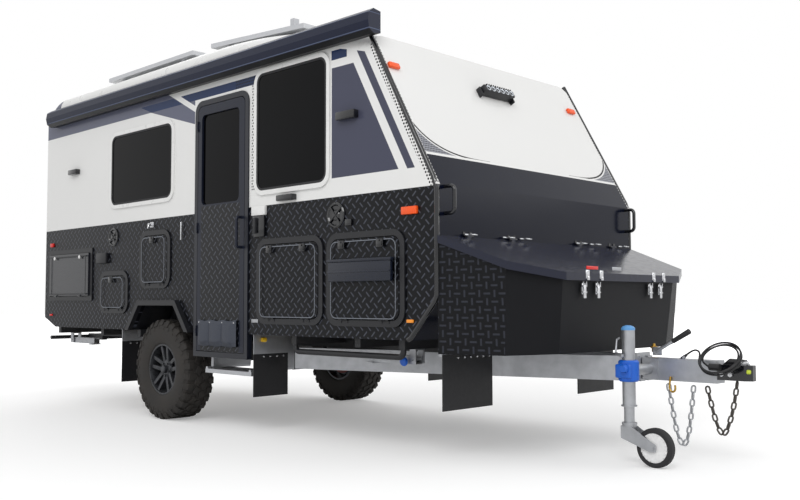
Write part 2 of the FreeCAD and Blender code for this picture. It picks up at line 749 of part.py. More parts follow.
def drawbar():
    """A-frame rails, the nose beam they run into and its end plates."""
    rails = [prism_xy(frame_line(side), FRAME_LOW_Z, RAIL_LOW_Z) for side in (-1, 1)]
    high = RAIL_LOW_Z - 8
    half = NOSE_WIDTH / 2
    nose = box(NOSE_X, NOSE_END_X, -half, half, high - NOSE_DEPTH, high)
    plate = box(NOSE_X - 14, NOSE_X, -half - 30, half + 30, FRAME_LOW_Z, RAIL_LOW_Z + 20)
    out, ahead = V(*CABLE_ROUTE[0]), V(*CABLE_ROUTE[1])
    root = out - (ahead - out).normalize() * GLAND_LENGTH
    gland = rod(tuple(root), tuple(out), 2 * CABLE_RADIUS)
    return fused(rails + [nose, plate, gland])


def cross_tube():
    """Cross member between the A-frame rails, ahead of the body."""
    x = FRONT_X - 60
    share = (x - FRAME_REAR_X) / (NOSE_X - FRAME_REAR_X)
    half = FRAME_REAR_Y + share * (NOSE_REAR_Y - FRAME_REAR_Y) - FRAME_RAIL_WIDTH / 2
    return box(x - 25, x + 25, -half, half, FRAME_LOW_Z + 40, RAIL_LOW_Z)


def coupling():
    """Off-road coupling: a block with a pin bore from below, and its latch."""
    low = RAIL_LOW_Z - 8 - NOSE_DEPTH + 22
    x0 = NOSE_END_X
    x1 = x0 + COUPLING_LENGTH
    half = COUPLING_WIDTH / 2
    plan = [(x0, -half), (x1 - 40, -half), (x1, -half + 26),
            (x1, half - 26), (x1 - 40, half), (x0, half)]
    block = prism_xy(plan, low, low + COUPLING_HEIGHT)
    bore_x = x1 - 62
    bore = rod((bore_x, 0, low - 1), (bore_x, 0, low + COUPLING_HEIGHT - 14),
               COUPLING_PIN_RADIUS)
    lever = prism_xz([(x0 + 20, low + COUPLING_HEIGHT), (x0 + 60, low + COUPLING_HEIGHT + 34),
                      (x1 - 50, low + COUPLING_HEIGHT + 30), (x1 - 30, low + COUPLING_HEIGHT)],
                     -16, 16)
    return fused([block.cut(bore), lever])


# ================================================================ front box
def box_plan(overhang, taper):
    """Plan outline of the front box, from the right rear corner round."""
    edge = HALF + overhang
    front = FRONT_X + BOX_LENGTH + overhang - taper
    corner = FRONT_X + BOX_SIDE_LENGTH + overhang - 0.6 * taper
    side = edge - BOX_CORNER_INSET - 0.5 * taper
    nose = HALF - BOX_FRONT_INSET + 0.4 * overhang - 0.5 * taper
    half = [(FRONT_X, edge), (corner, side), (front, nose)]
    return [(x, -y) for x, y in half] + [(x, y) for x, y in reversed(half)]


def lid_z(x):
    share = (x - FRONT_X) / BOX_LENGTH
    return BOX_REAR_Z + share * (BOX_FRONT_Z - BOX_REAR_Z)


def slope_slab(top, bottom, x0=None):
    """Everything between two planes parallel to the lid."""
    far = FRONT_X + BOX_LENGTH + 200
    near = FRONT_X - 200 if x0 is None else x0
    return prism_xz([(near, lid_z(near) - top), (far, lid_z(far) - top),
                     (far, lid_z(far) - bottom), (near, lid_z(near) - bottom)],
                    -2 * HALF, 2 * HALF)


def box_block(inset, low, high):
    """The box's outline, wider at the top, between two heights."""
    rise = BOX_REAR_Z - BOX_LOW_Z
    wires = []
    for z in (low, high):
        taper = BOX_TAPER * (BOX_REAR_Z - z) / rise
        corners = [V(x, y, z) for x, y in box_plan(-LID_OVERHANG - inset, taper)]
        wires.append(Part.makePolygon(corners + corners[:1]))
    return Part.makeLoft(wires, True, True)


def front_box():
    """Open-topped storage box on the drawbar, under its sloping lid."""
    outer = box_block(0, BOX_LOW_Z, BOX_REAR_Z)
    inner = box_block(BOX_SHEET, BOX_LOW_Z + BOX_SHEET, BOX_REAR_Z + 20)
    back = box(FRONT_X, FRONT_X + BOX_SHEET, -HALF, HALF, 0, BOX_REAR_Z - 100)
    inner = inner.cut(back)
    keep = slope_slab(BOX_SHEET + GAP, 2000)
    return outer.cut(inner).common(keep)


def box_lid():
    """Sloping lid with a turned-down rim on three sides, and its hinges."""
    plan = prism_xy(box_plan(0, 0), 900, 1600)
    start = FRONT_X + GAP
    outer = plan.common(slope_slab(0, LID_RIM, start))
    inset = prism_xy([(x - BOX_SHEET if x > FRONT_X else x, y)
                      for x, y in box_plan(-BOX_SHEET, 0)], 900, 1600)
    inner = inset.common(slope_slab(BOX_SHEET, LID_RIM + 50))
    return outer.cut(inner)


def lid_axis():
    """x and z of the lid's hinge line, just above its rear edge."""
    x = FRONT_X + GAP + 10
    return x, lid_z(x) + HINGE_RADIUS + 4


def lid_hinges():
    """Knuckles along the lid's rear edge: moving ones and fixed ones."""
    x, z = lid_axis()
    moving = []
    fixed = []
    for y in (-0.75 * HALF, -0.35 * HALF, 0.35 * HALF, 0.75 * HALF):
        half = HINGE_LENGTH / 2
        barrel = rod((x, y - half, z), (x, y + half, z), HINGE_RADIUS)
        drop = lid_z(x + 3) - 1
        arm = box(x, x + 6, y - half, y + half, drop, z)
        moving.append(fused([barrel, arm]))
        for side in (-1, 1):
            low, high = sorted((y + side * (half + SEAT), y + side * (2 * half + SEAT)))
            pin = rod((x, low, z), (x, high, z), HINGE_RADIUS)
            web = box(FRONT_X, x, low, high, z - 3, z + 3)
            foot = box(FRONT_X, FRONT_X + 4, low, high, z - 3, z + 25)
            fixed.append(fused([pin, web, foot]))
    return moving, fixed


# ================================================================ jockey wheel
def jockey_bracket():
    """Galvanised plate on the nose beam and the pivot boss out to the clamp."""
    clamp_y = JOCKEY_Y + JOCKEY_TUBE_RADIUS + 14
    side_y = -NOSE_WIDTH / 2
    arm = rod((JOCKEY_X, clamp_y + SEAT, JOCKEY_CLAMP_Z),
              (JOCKEY_X, side_y, JOCKEY_CLAMP_Z), 34)
    plate = box(JOCKEY_X - 38, JOCKEY_X + 60, side_y - 12, side_y,
                FRAME_LOW_Z + 16, RAIL_LOW_Z - 12)
    return fused([arm, plate])


def jockey_tube():
    """Outer tube with its clamp and cap: swings on the bracket's pivot."""
    x, y = JOCKEY_X, JOCKEY_Y
    tube = rod((x, y, JOCKEY_TUBE_LOW_Z), (x, y, JOCKEY_TOP_Z), JOCKEY_TUBE_RADIUS)
    bore = rod((x, y, JOCKEY_TUBE_LOW_Z - 1), (x, y, JOCKEY_TOP_Z - 40),
               JOCKEY_INNER_RADIUS + SEAT)
    collar = rod((x, y, JOCKEY_CLAMP_Z - 60), (x, y, JOCKEY_CLAMP_Z + 60),
                 JOCKEY_TUBE_RADIUS + 7)
    lug = rod((x, y, JOCKEY_CLAMP_Z),
              (x, y + JOCKEY_TUBE_RADIUS + 14, JOCKEY_CLAMP_Z), 34)
    flange = rod((x, y, JOCKEY_TUBE_LOW_Z), (x, y, JOCKEY_TUBE_LOW_Z + 8),
                 JOCKEY_TUBE_RADIUS + 8)
    return fused([tube, collar, lug, flange]).cut(bore)


def jockey_inner():
    """Inner tube that the crank winds in and out."""
    x, y = JOCKEY_X, JOCKEY_Y
    tube = pipe((x, y, JOCKEY_INNER_LOW_Z), (x, y, JOCKEY_TOP_Z - 160),
                JOCKEY_INNER_RADIUS, 4)
    foot = rod((x, y, JOCKEY_INNER_LOW_Z - 6), (x, y, JOCKEY_INNER_LOW_Z + 4), 44)
    return fused([tube, foot])


def jockey_fork():
    """Trailing fork on a swivel plate under the inner tube."""
    x, y = JOCKEY_X, JOCKEY_Y
    top = JOCKEY_INNER_LOW_Z - 6 - SEAT
    half = JOCKEY_WHEEL_WIDTH / 2 + GAP
    sheet = 6
    crown = rod((x, y, top - 10), (x, y, top), 42)
    axle_x = x + JOCKEY_TRAIL
    parts = [crown, box(x - 38, x + 30, y - half - sheet, y + half + sheet,
                        top - 22, top - 8)]
    for side in (-1, 1):
        y0, y1 = sorted((y + side * half, y + side * (half + sheet)))
        cheek = prism_xz([(x - 38, top - 10), (x + 30, top - 10),
                          (axle_x + 18, JOCKEY_WHEEL_RADIUS + 18),
                          (axle_x + 18, JOCKEY_WHEEL_RADIUS - 18),
                          (axle_x - 20, JOCKEY_WHEEL_RADIUS - 22),
                          (x - 38, top - 80)], y0, y1)
        parts.append(cheek)
    axle = rod((axle_x, y - half - sheet - 6, JOCKEY_WHEEL_RADIUS),
               (axle_x, y + half + sheet + 6, JOCKEY_WHEEL_RADIUS), 9)
    return fused(parts + [axle])


def jockey_wheel():
    """Spoked plastic wheel with its rubber tyre, about the fork's axle."""
    axle_x = JOCKEY_X + JOCKEY_TRAIL
    half = JOCKEY_WHEEL_WIDTH / 2
    centre = V(axle_x, JOCKEY_Y, JOCKEY_WHEEL_RADIUS)

    def disc(radius, width):
        return Part.makeCylinder(radius, 2 * width, centre - V(0, width, 0), V(0, 1, 0))

    edge_radius = 12
    tyre = disc(JOCKEY_WHEEL_RADIUS, half)
    rims = [e for e in tyre.Edges if e.Curve.TypeId == "Part::GeomCircle"]
    tyre = tyre.makeFillet(edge_radius, rims).cut(disc(84, half + 1))
    wheel = disc(84 - SEAT, half - 4).cut(disc(9 + SEAT, half))
    return tyre, wheel


# ================================================================ under the body
def steady(x, y, forward):
    """Corner leg folded up along the chassis; its pivot is at x."""
    z = RAIL_LOW_Z - 4
    length = 430.0
    end = x - forward * length
    x0, x1 = sorted((x, end))
    web = box(x0, x1, y - 28, y + 28, z - 52, z - 46)
    flanges = [box(x0, x1, y + s, y + s + 6, z - 52, z) for s in (-28, 22)]
    foot = box(min(end, end + forward * 60), max(end, end + forward * 60),
               y - 50, y + 50, z - 60, z - 52)
    pin = rod((x - forward * 18, y - 34, z - 22), (x - forward * 18, y + 34, z - 22), 9)
    return fused([web, foot, pin] + flanges)


def steady_bracket(x, y, forward):
    """Ears that hold a corner leg's pivot, hung from the floor beams."""
    z = RAIL_LOW_Z - 4
    px = x - forward * 18
    ears = []
    for side in (-1, 1):
        y0, y1 = sorted((y + side * (28 + GAP), y + side * (28 + GAP + 8)))
        ear = box(px - 26, px + 26, y0, y1, z - 48, FLOOR_Z - BEAM_DEPTH)
        ears.append(ear.cut(rod((px, y0 - 1, z - 22), (px, y1 + 1, z - 22), 9 + SEAT)))
    top = box(px - 26, px + 26, y - 28 - GAP - 8, y + 28 + GAP + 8,
              FLOOR_Z - BEAM_DEPTH - 8, FLOOR_Z - BEAM_DEPTH)
    return fused(ears + [top])


STEADY_Y = 880.0
STEADIES = {
    "front_right_steady": (1675.0, -STEADY_Y, 1),
    "front_left_steady": (1675.0, STEADY_Y, 1),
    "rear_right_steady": (-2875.0, -STEADY_Y, -1),
    "rear_left_steady": (-2875.0, STEADY_Y, -1),
}


def side_rail():
    """Black tube that guards the sill ahead of the door."""
    y = -HALF + 75
    z = 604.0
    high = FLOOR_Z - BEAM_DEPTH
    x0, x1 = CROSS_X[-3], CROSS_X[-1]
    return bent_tube([(x0, y, high), (x0, y, z), (x1, y, z), (x1, y, high)], 19, 40)


def step_guides():
    """Two channels under the door that carry the slide-out step."""
    guides = []
    for x in (-350.0, 190.0):
        guides.append(box(x - 15, x + 15, -HALF + 70, -HALF + 420, 455, FLOOR_Z))
    return guides


def entry_step():
    """Aluminium tread that slides out under the door."""
    y0 = -HALF + 20
    tread = box(-368, 208, y0, y0 + 250, 410, 440)
    runners = [box(x - 12, x + 12, y0, y0 + 400, 440, 455 - SEAT) for x in (-350.0, 190.0)]
    return fused([tread] + runners)


def mud_flap(x, y_outer, width, low, high):
    """Rubber flap across the trailer."""
    return box(x, x + 8, y_outer, y_outer + width, low, high)


def flap_hanger(x, y_outer, width, high):
    return box(x, x + 8, y_outer, y_outer + width, high, FLOOR_Z)


def water_tank():
    return box(420, 1150, -480, 480, 500, FLOOR_Z - BEAM_DEPTH)


def safety_chains():
    """Two slack chains under the nose, each as a plain round rope of its size."""
    low = RAIL_LOW_Z - 8 - NOSE_DEPTH - 2.2
    y = CHAIN_Y
    first = [(2899, y, low), (2930, y, 300), (2989, y, 98), (3037, y, 300), (3059, y, low)]
    second = [(3142, y, low), (3175, y, 300), (3232, y, 190), (3290, y, 310),
              (3319, y, low + 22)]
    return [bent_tube(first, CHAIN_RADIUS), bent_tube(second, CHAIN_RADIUS)]


def cable():
    """Electrical lead from its gland on the nose beam up to its loose coil."""
    stops = [V(*p) for p in CABLE_ROUTE]
    corners = zip(stops, stops[1:], stops[2:])
    print("lead radii", [round(largest_arc(*corner)) for corner in corners])
    return bent_tube(CABLE_ROUTE, CABLE_RADIUS).cut(cable_coil())


def cable_coil():
    """Outer shape of the lead's loose turns, leaning over the coupling."""
    tilt = math.radians(COIL_TILT)
    return Part.makeTorus(COIL_RADIUS, COIL_BUNDLE, V(*COIL_CENTRE),
                          V(0, -math.sin(tilt), math.cos(tilt)))


def cable_plug():
    """Round trailer plug tucked in the coil, at the end of its last turn."""
    tilt = math.radians(COIL_TILT)
    x = COIL_CENTRE[0] - PLUG_REACH
    y = COIL_CENTRE[1] - PLUG_INSET * math.cos(tilt)
    z = COIL_CENTRE[2] - PLUG_INSET * math.sin(tilt)
    return rod((x, y, z), (x + PLUG_LENGTH, y, z), PLUG_RADIUS).cut(cable_coil())


# ================================================================ rear end
def rear_bumper():
    """Round-tube bumper bar on two arms from the chassis rails."""
    y = HALF - 120
    half = BUMPER_TUBE / 2
    bar = rod((BUMPER_X, -y, BUMPER_Z), (BUMPER_X, y, BUMPER_Z), half)
    arms = []
    for side in (-RAIL_Y, RAIL_Y):
        arms.append(box(BUMPER_X, RAIL_REAR_X, side - 25, side + 25,
                        BUMPER_Z - 30, BUMPER_Z + 30))
    post_x = REAR_X - CARRIER_GAP
    rear_x = post_x - CARRIER_DEPTH
    post = box(rear_x, post_x, -35, 35, BUMPER_Z - 20, SPARE_Z + 60)
    cross = box(rear_x, post_x, -RAIL_Y - 25, RAIL_Y + 25, BUMPER_Z - 30, BUMPER_Z + 30)
    stub = rod((rear_x, SPARE_Y, SPARE_Z), (spare_x() - DISC_OFFSET + 22, SPARE_Y, SPARE_Z), 60)
    return fused([bar, post, cross, stub] + arms)


def spare_x():
    """Middle of the spare wheel, just behind its post."""
    return REAR_X - CARRIER_GAP - CARRIER_DEPTH - GAP - TYRE_WIDTH / 2


def spare_wheel():
    """Spare tyre and rim on the rear carrier, facing back."""
    tyre = tyre_solid()
    rim = rim_solid()
    placed = []
    for shape in (tyre, rim):
        turned = shape.copy()
        turned.rotate(V(0, 0, 0), V(0, 0, 1), -90)
        turned.translate(V(spare_x(), SPARE_Y, SPARE_Z))
        placed.append(turned)
    return placed


# ================================================================ roof items
def solar_panel(x0, x1):
    """Framed panel on two rails above the roof."""
    y0 = -HALF + SOLAR_EDGE
    z0 = roof_height(x0)
    z1 = roof_height(x1)
    top = SOLAR_TOP_Z
    low = top - SOLAR_THICK
    panel = prism_xz([(x0, z0 + low), (x1, z1 + low), (x1, z1 + top), (x0, z0 + top)],
                     y0, y0 + SOLAR_WIDTH)
    return panel


def solar_rails(x0, x1):
    """Feet under the panel's corners, cut to the roof and to the panel."""
    y0 = -HALF + SOLAR_EDGE
    feet = []
    for share in (0.15, 0.85):
        x = x0 + share * (x1 - x0)
        for y in (y0 + 60, y0 + SOLAR_WIDTH - 60):
            post = box(x - 20, x + 20, y - 25, y + 25, ROOF_Z - 200, ROOF_Z + SOLAR_TOP_Z)
            post = post.cut(solar_panel(x0, x1)).cut(body_block(0, HALF))
            feet.append(max(post.Solids, key=lambda solid: solid.Volume))
    return feet


def on_roof(shape):
    """Lay a wall-mounted shape on the roof: its outward side turns up."""
    laid = shape.copy()
    laid.rotate(V(0, 0, 0), V(1, 0, 0), -90)
    return laid


def vent_frame():
    half = VENT_SIZE / 2 + FRAME_WIDTH + GAP
    return VENT_X - half, VENT_X + half, VENT_Y - half, VENT_Y + half


def roof_vent():
    """Curb around a square hole in the roof, with a block that carries the hinge."""
    half = VENT_SIZE / 2
    low, high = ROOF_Z, ROOF_Z + VENT_LID - VENT_PLATE - GAP
    curb = box(VENT_X - half + 10, VENT_X + half - 10, VENT_Y - half + 10,
               VENT_Y + half - 10, low, high)
    hole = box(VENT_X - half + 30, VENT_X + half - 30, VENT_Y - half + 30,
               VENT_Y + half - 30, low - 1, high + 1)
    edge = VENT_Y - half - GAP
    block = box(VENT_X - half, VENT_X + half, edge - HINGE_TAB, edge, low, ROOF_Z + VENT_LID)
    tie = box(VENT_X - half, VENT_X + half, edge - HINGE_TAB, VENT_Y - half + 12, low, low + 6)
    leaf, fixed = hatch_leaf(vent_frame(), -ROOF_Z - VENT_LID, VENT_PLATE)
    body = fused([curb, block, tie] + [on_roof(f) for f in fixed])
    return body.cut(hole), on_roof(leaf)


def awning():
    """Closed awning cassette along the right wall, with its end caps."""
    x0, x1 = -2893.0, 1553.0
    y_wall = -HALF
    points = [(y_wall, 2624), (y_wall, 2762), (y_wall - 62, 2772), (y_wall - 100, 2745),
              (y_wall - 110, 2690), (y_wall - 98, 2636), (y_wall - 60, 2614)]
    corners = [V(x0, y, z) for y, z in points]
    face = Part.Face(Part.makePolygon(corners + corners[:1]))
    return face.extrude(V(x1 - x0, 0, 0))


def front_handle(y):
    """D-shaped grab handle on the front wall, beside the knee."""
    low, high = 1465.0, 1625.0
    out = FRONT_X + 75
    return bent_tube([(FRONT_X, y, low), (out, y, low), (out, y, high),
                      (FRONT_X, y, high)], 12, 30)


def main():
    os.makedirs("parts", exist_ok=True)
    roof, right, left, rear, floor, front, upper = shell_parts()
    vent_half = VENT_SIZE / 2 - 30
    vent_hole = box(VENT_X - vent_half, VENT_X + vent_half, VENT_Y - vent_half,
                    VENT_Y + vent_half, ROOF_Z - 200, ROOF_Z + 10)
    feet = []
    for x0, x1 in SOLAR_PANELS:
        feet.extend(solar_rails(x0, x1))
    save("roof", [roof.cut(vent_hole)])
    save("right_wall", [fused([right_wall(right), doorway_corners()])])
    save("left_wall", [left_wall(left)])
    save("rear_wall", [rear])
    save("floor_panel", [floor_panel(floor)])
    save("front_wall", [front])
    save("front_upper_panel", [upper])
    save("wheel_tubs", both_sides(wheel_tub()))
    save("arch_trims", both_sides(arch_trim()))

    rings = [frame_ring(f) for f in RIGHT_HATCHES.values()] + [frame_ring(TABLE, TABLE_RADIUS)]
    left_rings = [frame_ring(f) for f in LEFT_HATCHES.values()]
    for name, frame in RIGHT_HATCHES.items():
        leaf, fixed = hatch_leaf(frame, -HALF - FRAME_PROUD, wall_leaf_depth(), HATCH_RADIUS)
        save(name, [leaf])
        rings = rings + fixed
    for name, frame in LEFT_HATCHES.items():
        leaf, fixed = hatch_leaf(frame, -HALF - FRAME_PROUD, wall_leaf_depth(), HATCH_RADIUS)
        save(name, [mirrored(leaf)])
        left_rings = left_rings + fixed
    table, fixed = hatch_leaf(TABLE, -HALF - SEAT - TABLE_THICK, TABLE_THICK)
    save("table_panel", [table])
    save("hatch_frames", [fused(rings), mirrored(fused(left_rings))])

    leaf, glass, handle, fixed = entry_door()
    save("entry_door", [fused([leaf, handle])])
    save("door_glass", [glass])
    save("door_frame", [fused([door_frame()] + fixed)])
    frames, panes = window_set(RIGHT_WINDOWS.values())
    left_frames, left_panes = window_set(LEFT_WINDOWS.values())
    save("window_frames", frames + [mirrored(f) for f in left_frames])
    save("windows", panes + [mirrored(p) for p in left_panes])
    save("awning", [awning()])

    for side, flip in (("right", False), ("left", True)):
        for kind, solid in (("tyre", tyre_solid()), ("rim", wheel_solid())):
            placed = at_wheel(solid)
            save(side + "_" + kind, [mirrored(placed) if flip else placed])
    save("trailing_arms", both_sides(trailing_arm()))
    save("springs_and_dampers", both_sides(spring_post(arm_middle() + 22))
         + both_sides(shock_absorber()))
    save("chassis_frame", chassis_frame())
    save("drawbar", [fused([drawbar(), cross_tube()])])
    save("coupling", [coupling()])
    save("safety_chains", safety_chains())
    save("cable", [cable()])
    save("cable_coil", [cable_coil()])
    save("cable_plug", [cable_plug()])

    save("front_box", [front_box()])
    moving, fixed = lid_hinges()
    save("box_lid", [fused([box_lid()] + moving)])
    save("front_fittings", fixed + both_sides(front_handle(-HALF + 75)))

    save("jockey_bracket", [jockey_bracket()])
    save("jockey_tube", [jockey_tube()])
    save("jockey_inner", [jockey_inner()])
    save("jockey_fork", [jockey_fork()])
    tyre, wheel = jockey_wheel()
    save("jockey_tyre", [tyre])
    save("jockey_rim", [wheel])

    brackets = []
    for name, (x, y, forward) in STEADIES.items():
        save(name, [steady(x, y, forward)])
        brackets.append(steady_bracket(x, y, forward))
    save("side_rails", both_sides(side_rail()))
    save("entry_step", [entry_step()])
    save("water_tank", [water_tank()])
    flaps = []
    hangers = brackets + step_guides()
    for x, y, width, low, high in ((-1621, -HALF + 15, 290, 265, 610),
                                   (237, -HALF + 15, 310, 265, 570)):
        flaps.extend(both_sides(mud_flap(x, y, width, low, high)))
        hangers.extend(both_sides(flap_hanger(x, y, width, high)))
    flaps.extend(both_sides(mud_flap(1930, -HALF + 140, 470, 290, 625)))
    hangers.append(box(1905, 1930, -HALF + 140, HALF - 140, RAIL_LOW_Z, RAIL_LOW_Z + 28))
    save("mud_flaps", flaps)
    save("underbody_brackets", hangers)
    save("rear_bumper", [rear_bumper()])
    spare_tyre, spare_rim = spare_wheel()
    save("spare_tyre", [spare_tyre])
    save("spare_rim", [spare_rim])

    save("solar_panels", [solar_panel(x0, x1) for x0, x1 in SOLAR_PANELS] + feet)
    vent, lid = roof_vent()
    save("roof_vent", [vent])
    save("vent_lid", [lid])


main()
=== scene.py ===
# %% [markdown]
# # An off-road camper trailer, dressed in Blender
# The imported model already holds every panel, wheel and hinge at its real size. This script
# keeps it as a fixed frame and gives it finishes, fittings, tyre tread, chains and a lead.

# %% Load the frame
import math

import bmesh
import bpy
from mathutils import Matrix, Vector


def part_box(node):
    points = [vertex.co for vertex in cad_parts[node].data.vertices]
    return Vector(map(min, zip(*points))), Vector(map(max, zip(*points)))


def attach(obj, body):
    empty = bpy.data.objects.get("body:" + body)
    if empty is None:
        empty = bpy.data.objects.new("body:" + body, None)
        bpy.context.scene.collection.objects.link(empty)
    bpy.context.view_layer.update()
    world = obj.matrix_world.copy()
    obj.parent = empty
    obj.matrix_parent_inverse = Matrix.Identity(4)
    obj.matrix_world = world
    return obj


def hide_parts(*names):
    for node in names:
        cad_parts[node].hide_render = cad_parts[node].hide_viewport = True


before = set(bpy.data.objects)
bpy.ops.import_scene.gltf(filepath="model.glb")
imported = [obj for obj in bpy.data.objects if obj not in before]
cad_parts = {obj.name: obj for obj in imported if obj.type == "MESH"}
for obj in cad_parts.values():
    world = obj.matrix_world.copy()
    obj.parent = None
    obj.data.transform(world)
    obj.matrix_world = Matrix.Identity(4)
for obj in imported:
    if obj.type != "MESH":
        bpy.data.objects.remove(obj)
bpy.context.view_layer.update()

# %% [markdown]
# The camera comes first, because cords may only spread inside its view. It stands near
# the front right corner, just under a metre high, and looks slightly up.

# %% Camera
scene = bpy.context.scene
scene.view_settings.view_transform = "Standard"
EYE = Vector((5.586, -5.071, 0.948))
YAW, PITCH, ROLL = math.radians(44.207), math.radians(3.188), math.radians(-0.123)
camera = bpy.data.objects.new("camera", bpy.data.cameras.new("camera"))
scene.collection.objects.link(camera)
camera.data.lens = 41.26
camera.data.clip_end = 200
turn = Matrix.Rotation(YAW, 4, "Z") @ Matrix.Rotation(math.pi / 2 + PITCH, 4, "X")
camera.matrix_world = Matrix.Translation(EYE) @ turn @ Matrix.Rotation(ROLL, 4, "Z")
scene.camera = camera
print("camera", tuple(round(v, 3) for v in EYE))


# %% [markdown]
# Almost every piece is a bmesh that becomes an object at the origin, gets a finish and
# rides on a body. One function does the last three steps, so no piece can miss one.

# %% From a bmesh to a piece
def link(obj):
    scene.collection.objects.link(obj)
    return obj


def new_object(name, bm):
    mesh = bpy.data.meshes.new(name)
    bm.to_mesh(mesh)
    bm.free()
    return link(bpy.data.objects.new(name, mesh))


def piece(name, bm, finish, body="body", smooth=30):
    """A finished piece: mesh, material, shading and body."""
    bmesh.ops.recalc_face_normals(bm, faces=bm.faces)
    obj = new_object(name, bm)
    obj.data.materials.append(finish)
    obj.data.shade_smooth()
    obj.data.set_sharp_from_angle(angle=math.radians(smooth))
    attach(obj, body)
    return obj


# %% [markdown]
# A pale floor and a white world light the trailer evenly. Rays that reach the world from
# the camera, from gloss or through glass see plain white, so the backdrop needs no lamp.

# %% Floor, world and lamps
WORLD_LIGHT = 0.72
SHEEN_LIGHT = 0.9


def area_lamp(name, place, target, size, power):
    data = bpy.data.lights.new(name, "AREA")
    data.size = size
    data.energy = power
    lamp = link(bpy.data.objects.new(name, data))
    lamp.location = place
    aim = Vector(target) - Vector(place)
    lamp.rotation_euler = aim.to_track_quat("-Z", "Y").to_euler()


bm = bmesh.new()
bmesh.ops.create_grid(bm, x_segments=1, y_segments=1, size=60)
floor = new_object("floor", bm)
world = bpy.data.worlds.new("world")
scene.world = world
world.use_nodes = True
world.node_tree.nodes.clear()


def world_node(kind, **values):
    node = world.node_tree.nodes.new(kind)
    for name, value in values.items():
        node.inputs[name].default_value = value
    return node


tie = world.node_tree.links.new
rays = world_node("ShaderNodeLightPath")
plain = world_node("ShaderNodeBackground", Strength=WORLD_LIGHT)
bright = world_node("ShaderNodeBackground", Strength=1.0)
sheen = world_node("ShaderNodeBackground", Strength=SHEEN_LIGHT)
for back in (plain, bright, sheen):
    back.inputs["Color"].default_value = (1, 1, 1, 1)
first = world_node("ShaderNodeMixShader")
second = world_node("ShaderNodeMixShader")
third = world_node("ShaderNodeMixShader")
tie(rays.outputs["Is Glossy Ray"], first.inputs[0])
tie(plain.outputs[0], first.inputs[1])
tie(sheen.outputs[0], first.inputs[2])
tie(rays.outputs["Is Transmission Ray"], second.inputs[0])
tie(first.outputs[0], second.inputs[1])
tie(bright.outputs[0], second.inputs[2])
tie(rays.outputs["Is Camera Ray"], third.inputs[0])
tie(second.outputs[0], third.inputs[1])
tie(bright.outputs[0], third.inputs[2])
out = world_node("ShaderNodeOutputWorld")
tie(third.outputs[0], out.inputs[0])
area_lamp("key", (7, -9, 9), (0, 0, 1.2), 6, 560)
area_lamp("fill", (9, 6, 6), (0, 0, 1.2), 7, 190)
area_lamp("back", (-9, 5, 7), (0, 0, 1.2), 7, 220)
print("lamps set")


# %% [markdown]
# Materials are written as sums. A small class wraps a number socket, so that
# `mask * 0.5 + 0.1` adds the Math nodes by itself, and a mask is a plain comparison.

# %% Shader values
def srgb(red, green, blue):
    """A colour in the usual 0-255 steps, made linear for the shader."""
    return tuple((c / 255) ** 2.2 for c in (red, green, blue))


class Value:
    """A number socket that Python's operators work on."""

    def __init__(self, paint, socket):
        self.paint = paint
        self.socket = socket

    def math(self, operation, first, second=0.0):
        node = self.paint.node("ShaderNodeMath", {"operation": operation},
                               {0: first, 1: second})
        return Value(self.paint, node.outputs[0])

    def __add__(self, other):
        return self.math("ADD", self, other)

    __radd__ = __add__

    def __sub__(self, other):
        return self.math("SUBTRACT", self, other)

    def __rsub__(self, other):
        return self.math("SUBTRACT", other, self)

    def __mul__(self, other):
        return self.math("MULTIPLY", self, other)

    __rmul__ = __mul__

    def over(self, edge, soft=0.0012):
        """1 above the edge and 0 below it, with a soft step."""
        node = self.paint.node("ShaderNodeMath", {"operation": "MULTIPLY_ADD", "use_clamp": True},
                               {0: self - edge, 1: 1 / soft, 2: 0.5})
        return Value(self.paint, node.outputs[0])

    def between(self, low, high, soft=0.0012):
        return self.over(low, soft) * (1 - self.over(high, soft))

    def either(self, other):
        return self.math("MAXIMUM", self, other)

    def away(self, middle):
        """Distance from a middle value."""
        return self.math("ABSOLUTE", self - middle)

    def saw(self, pitch):
        """-0.5 to 0.5 across each repeat of a pattern."""
        return self.math("FRACT", self * (1 / pitch)) - 0.5


# %% [markdown]
# Each finish is one Principled shader. `Paint` holds it, and its one `node` method adds
# any other node from its type, settings and inputs.

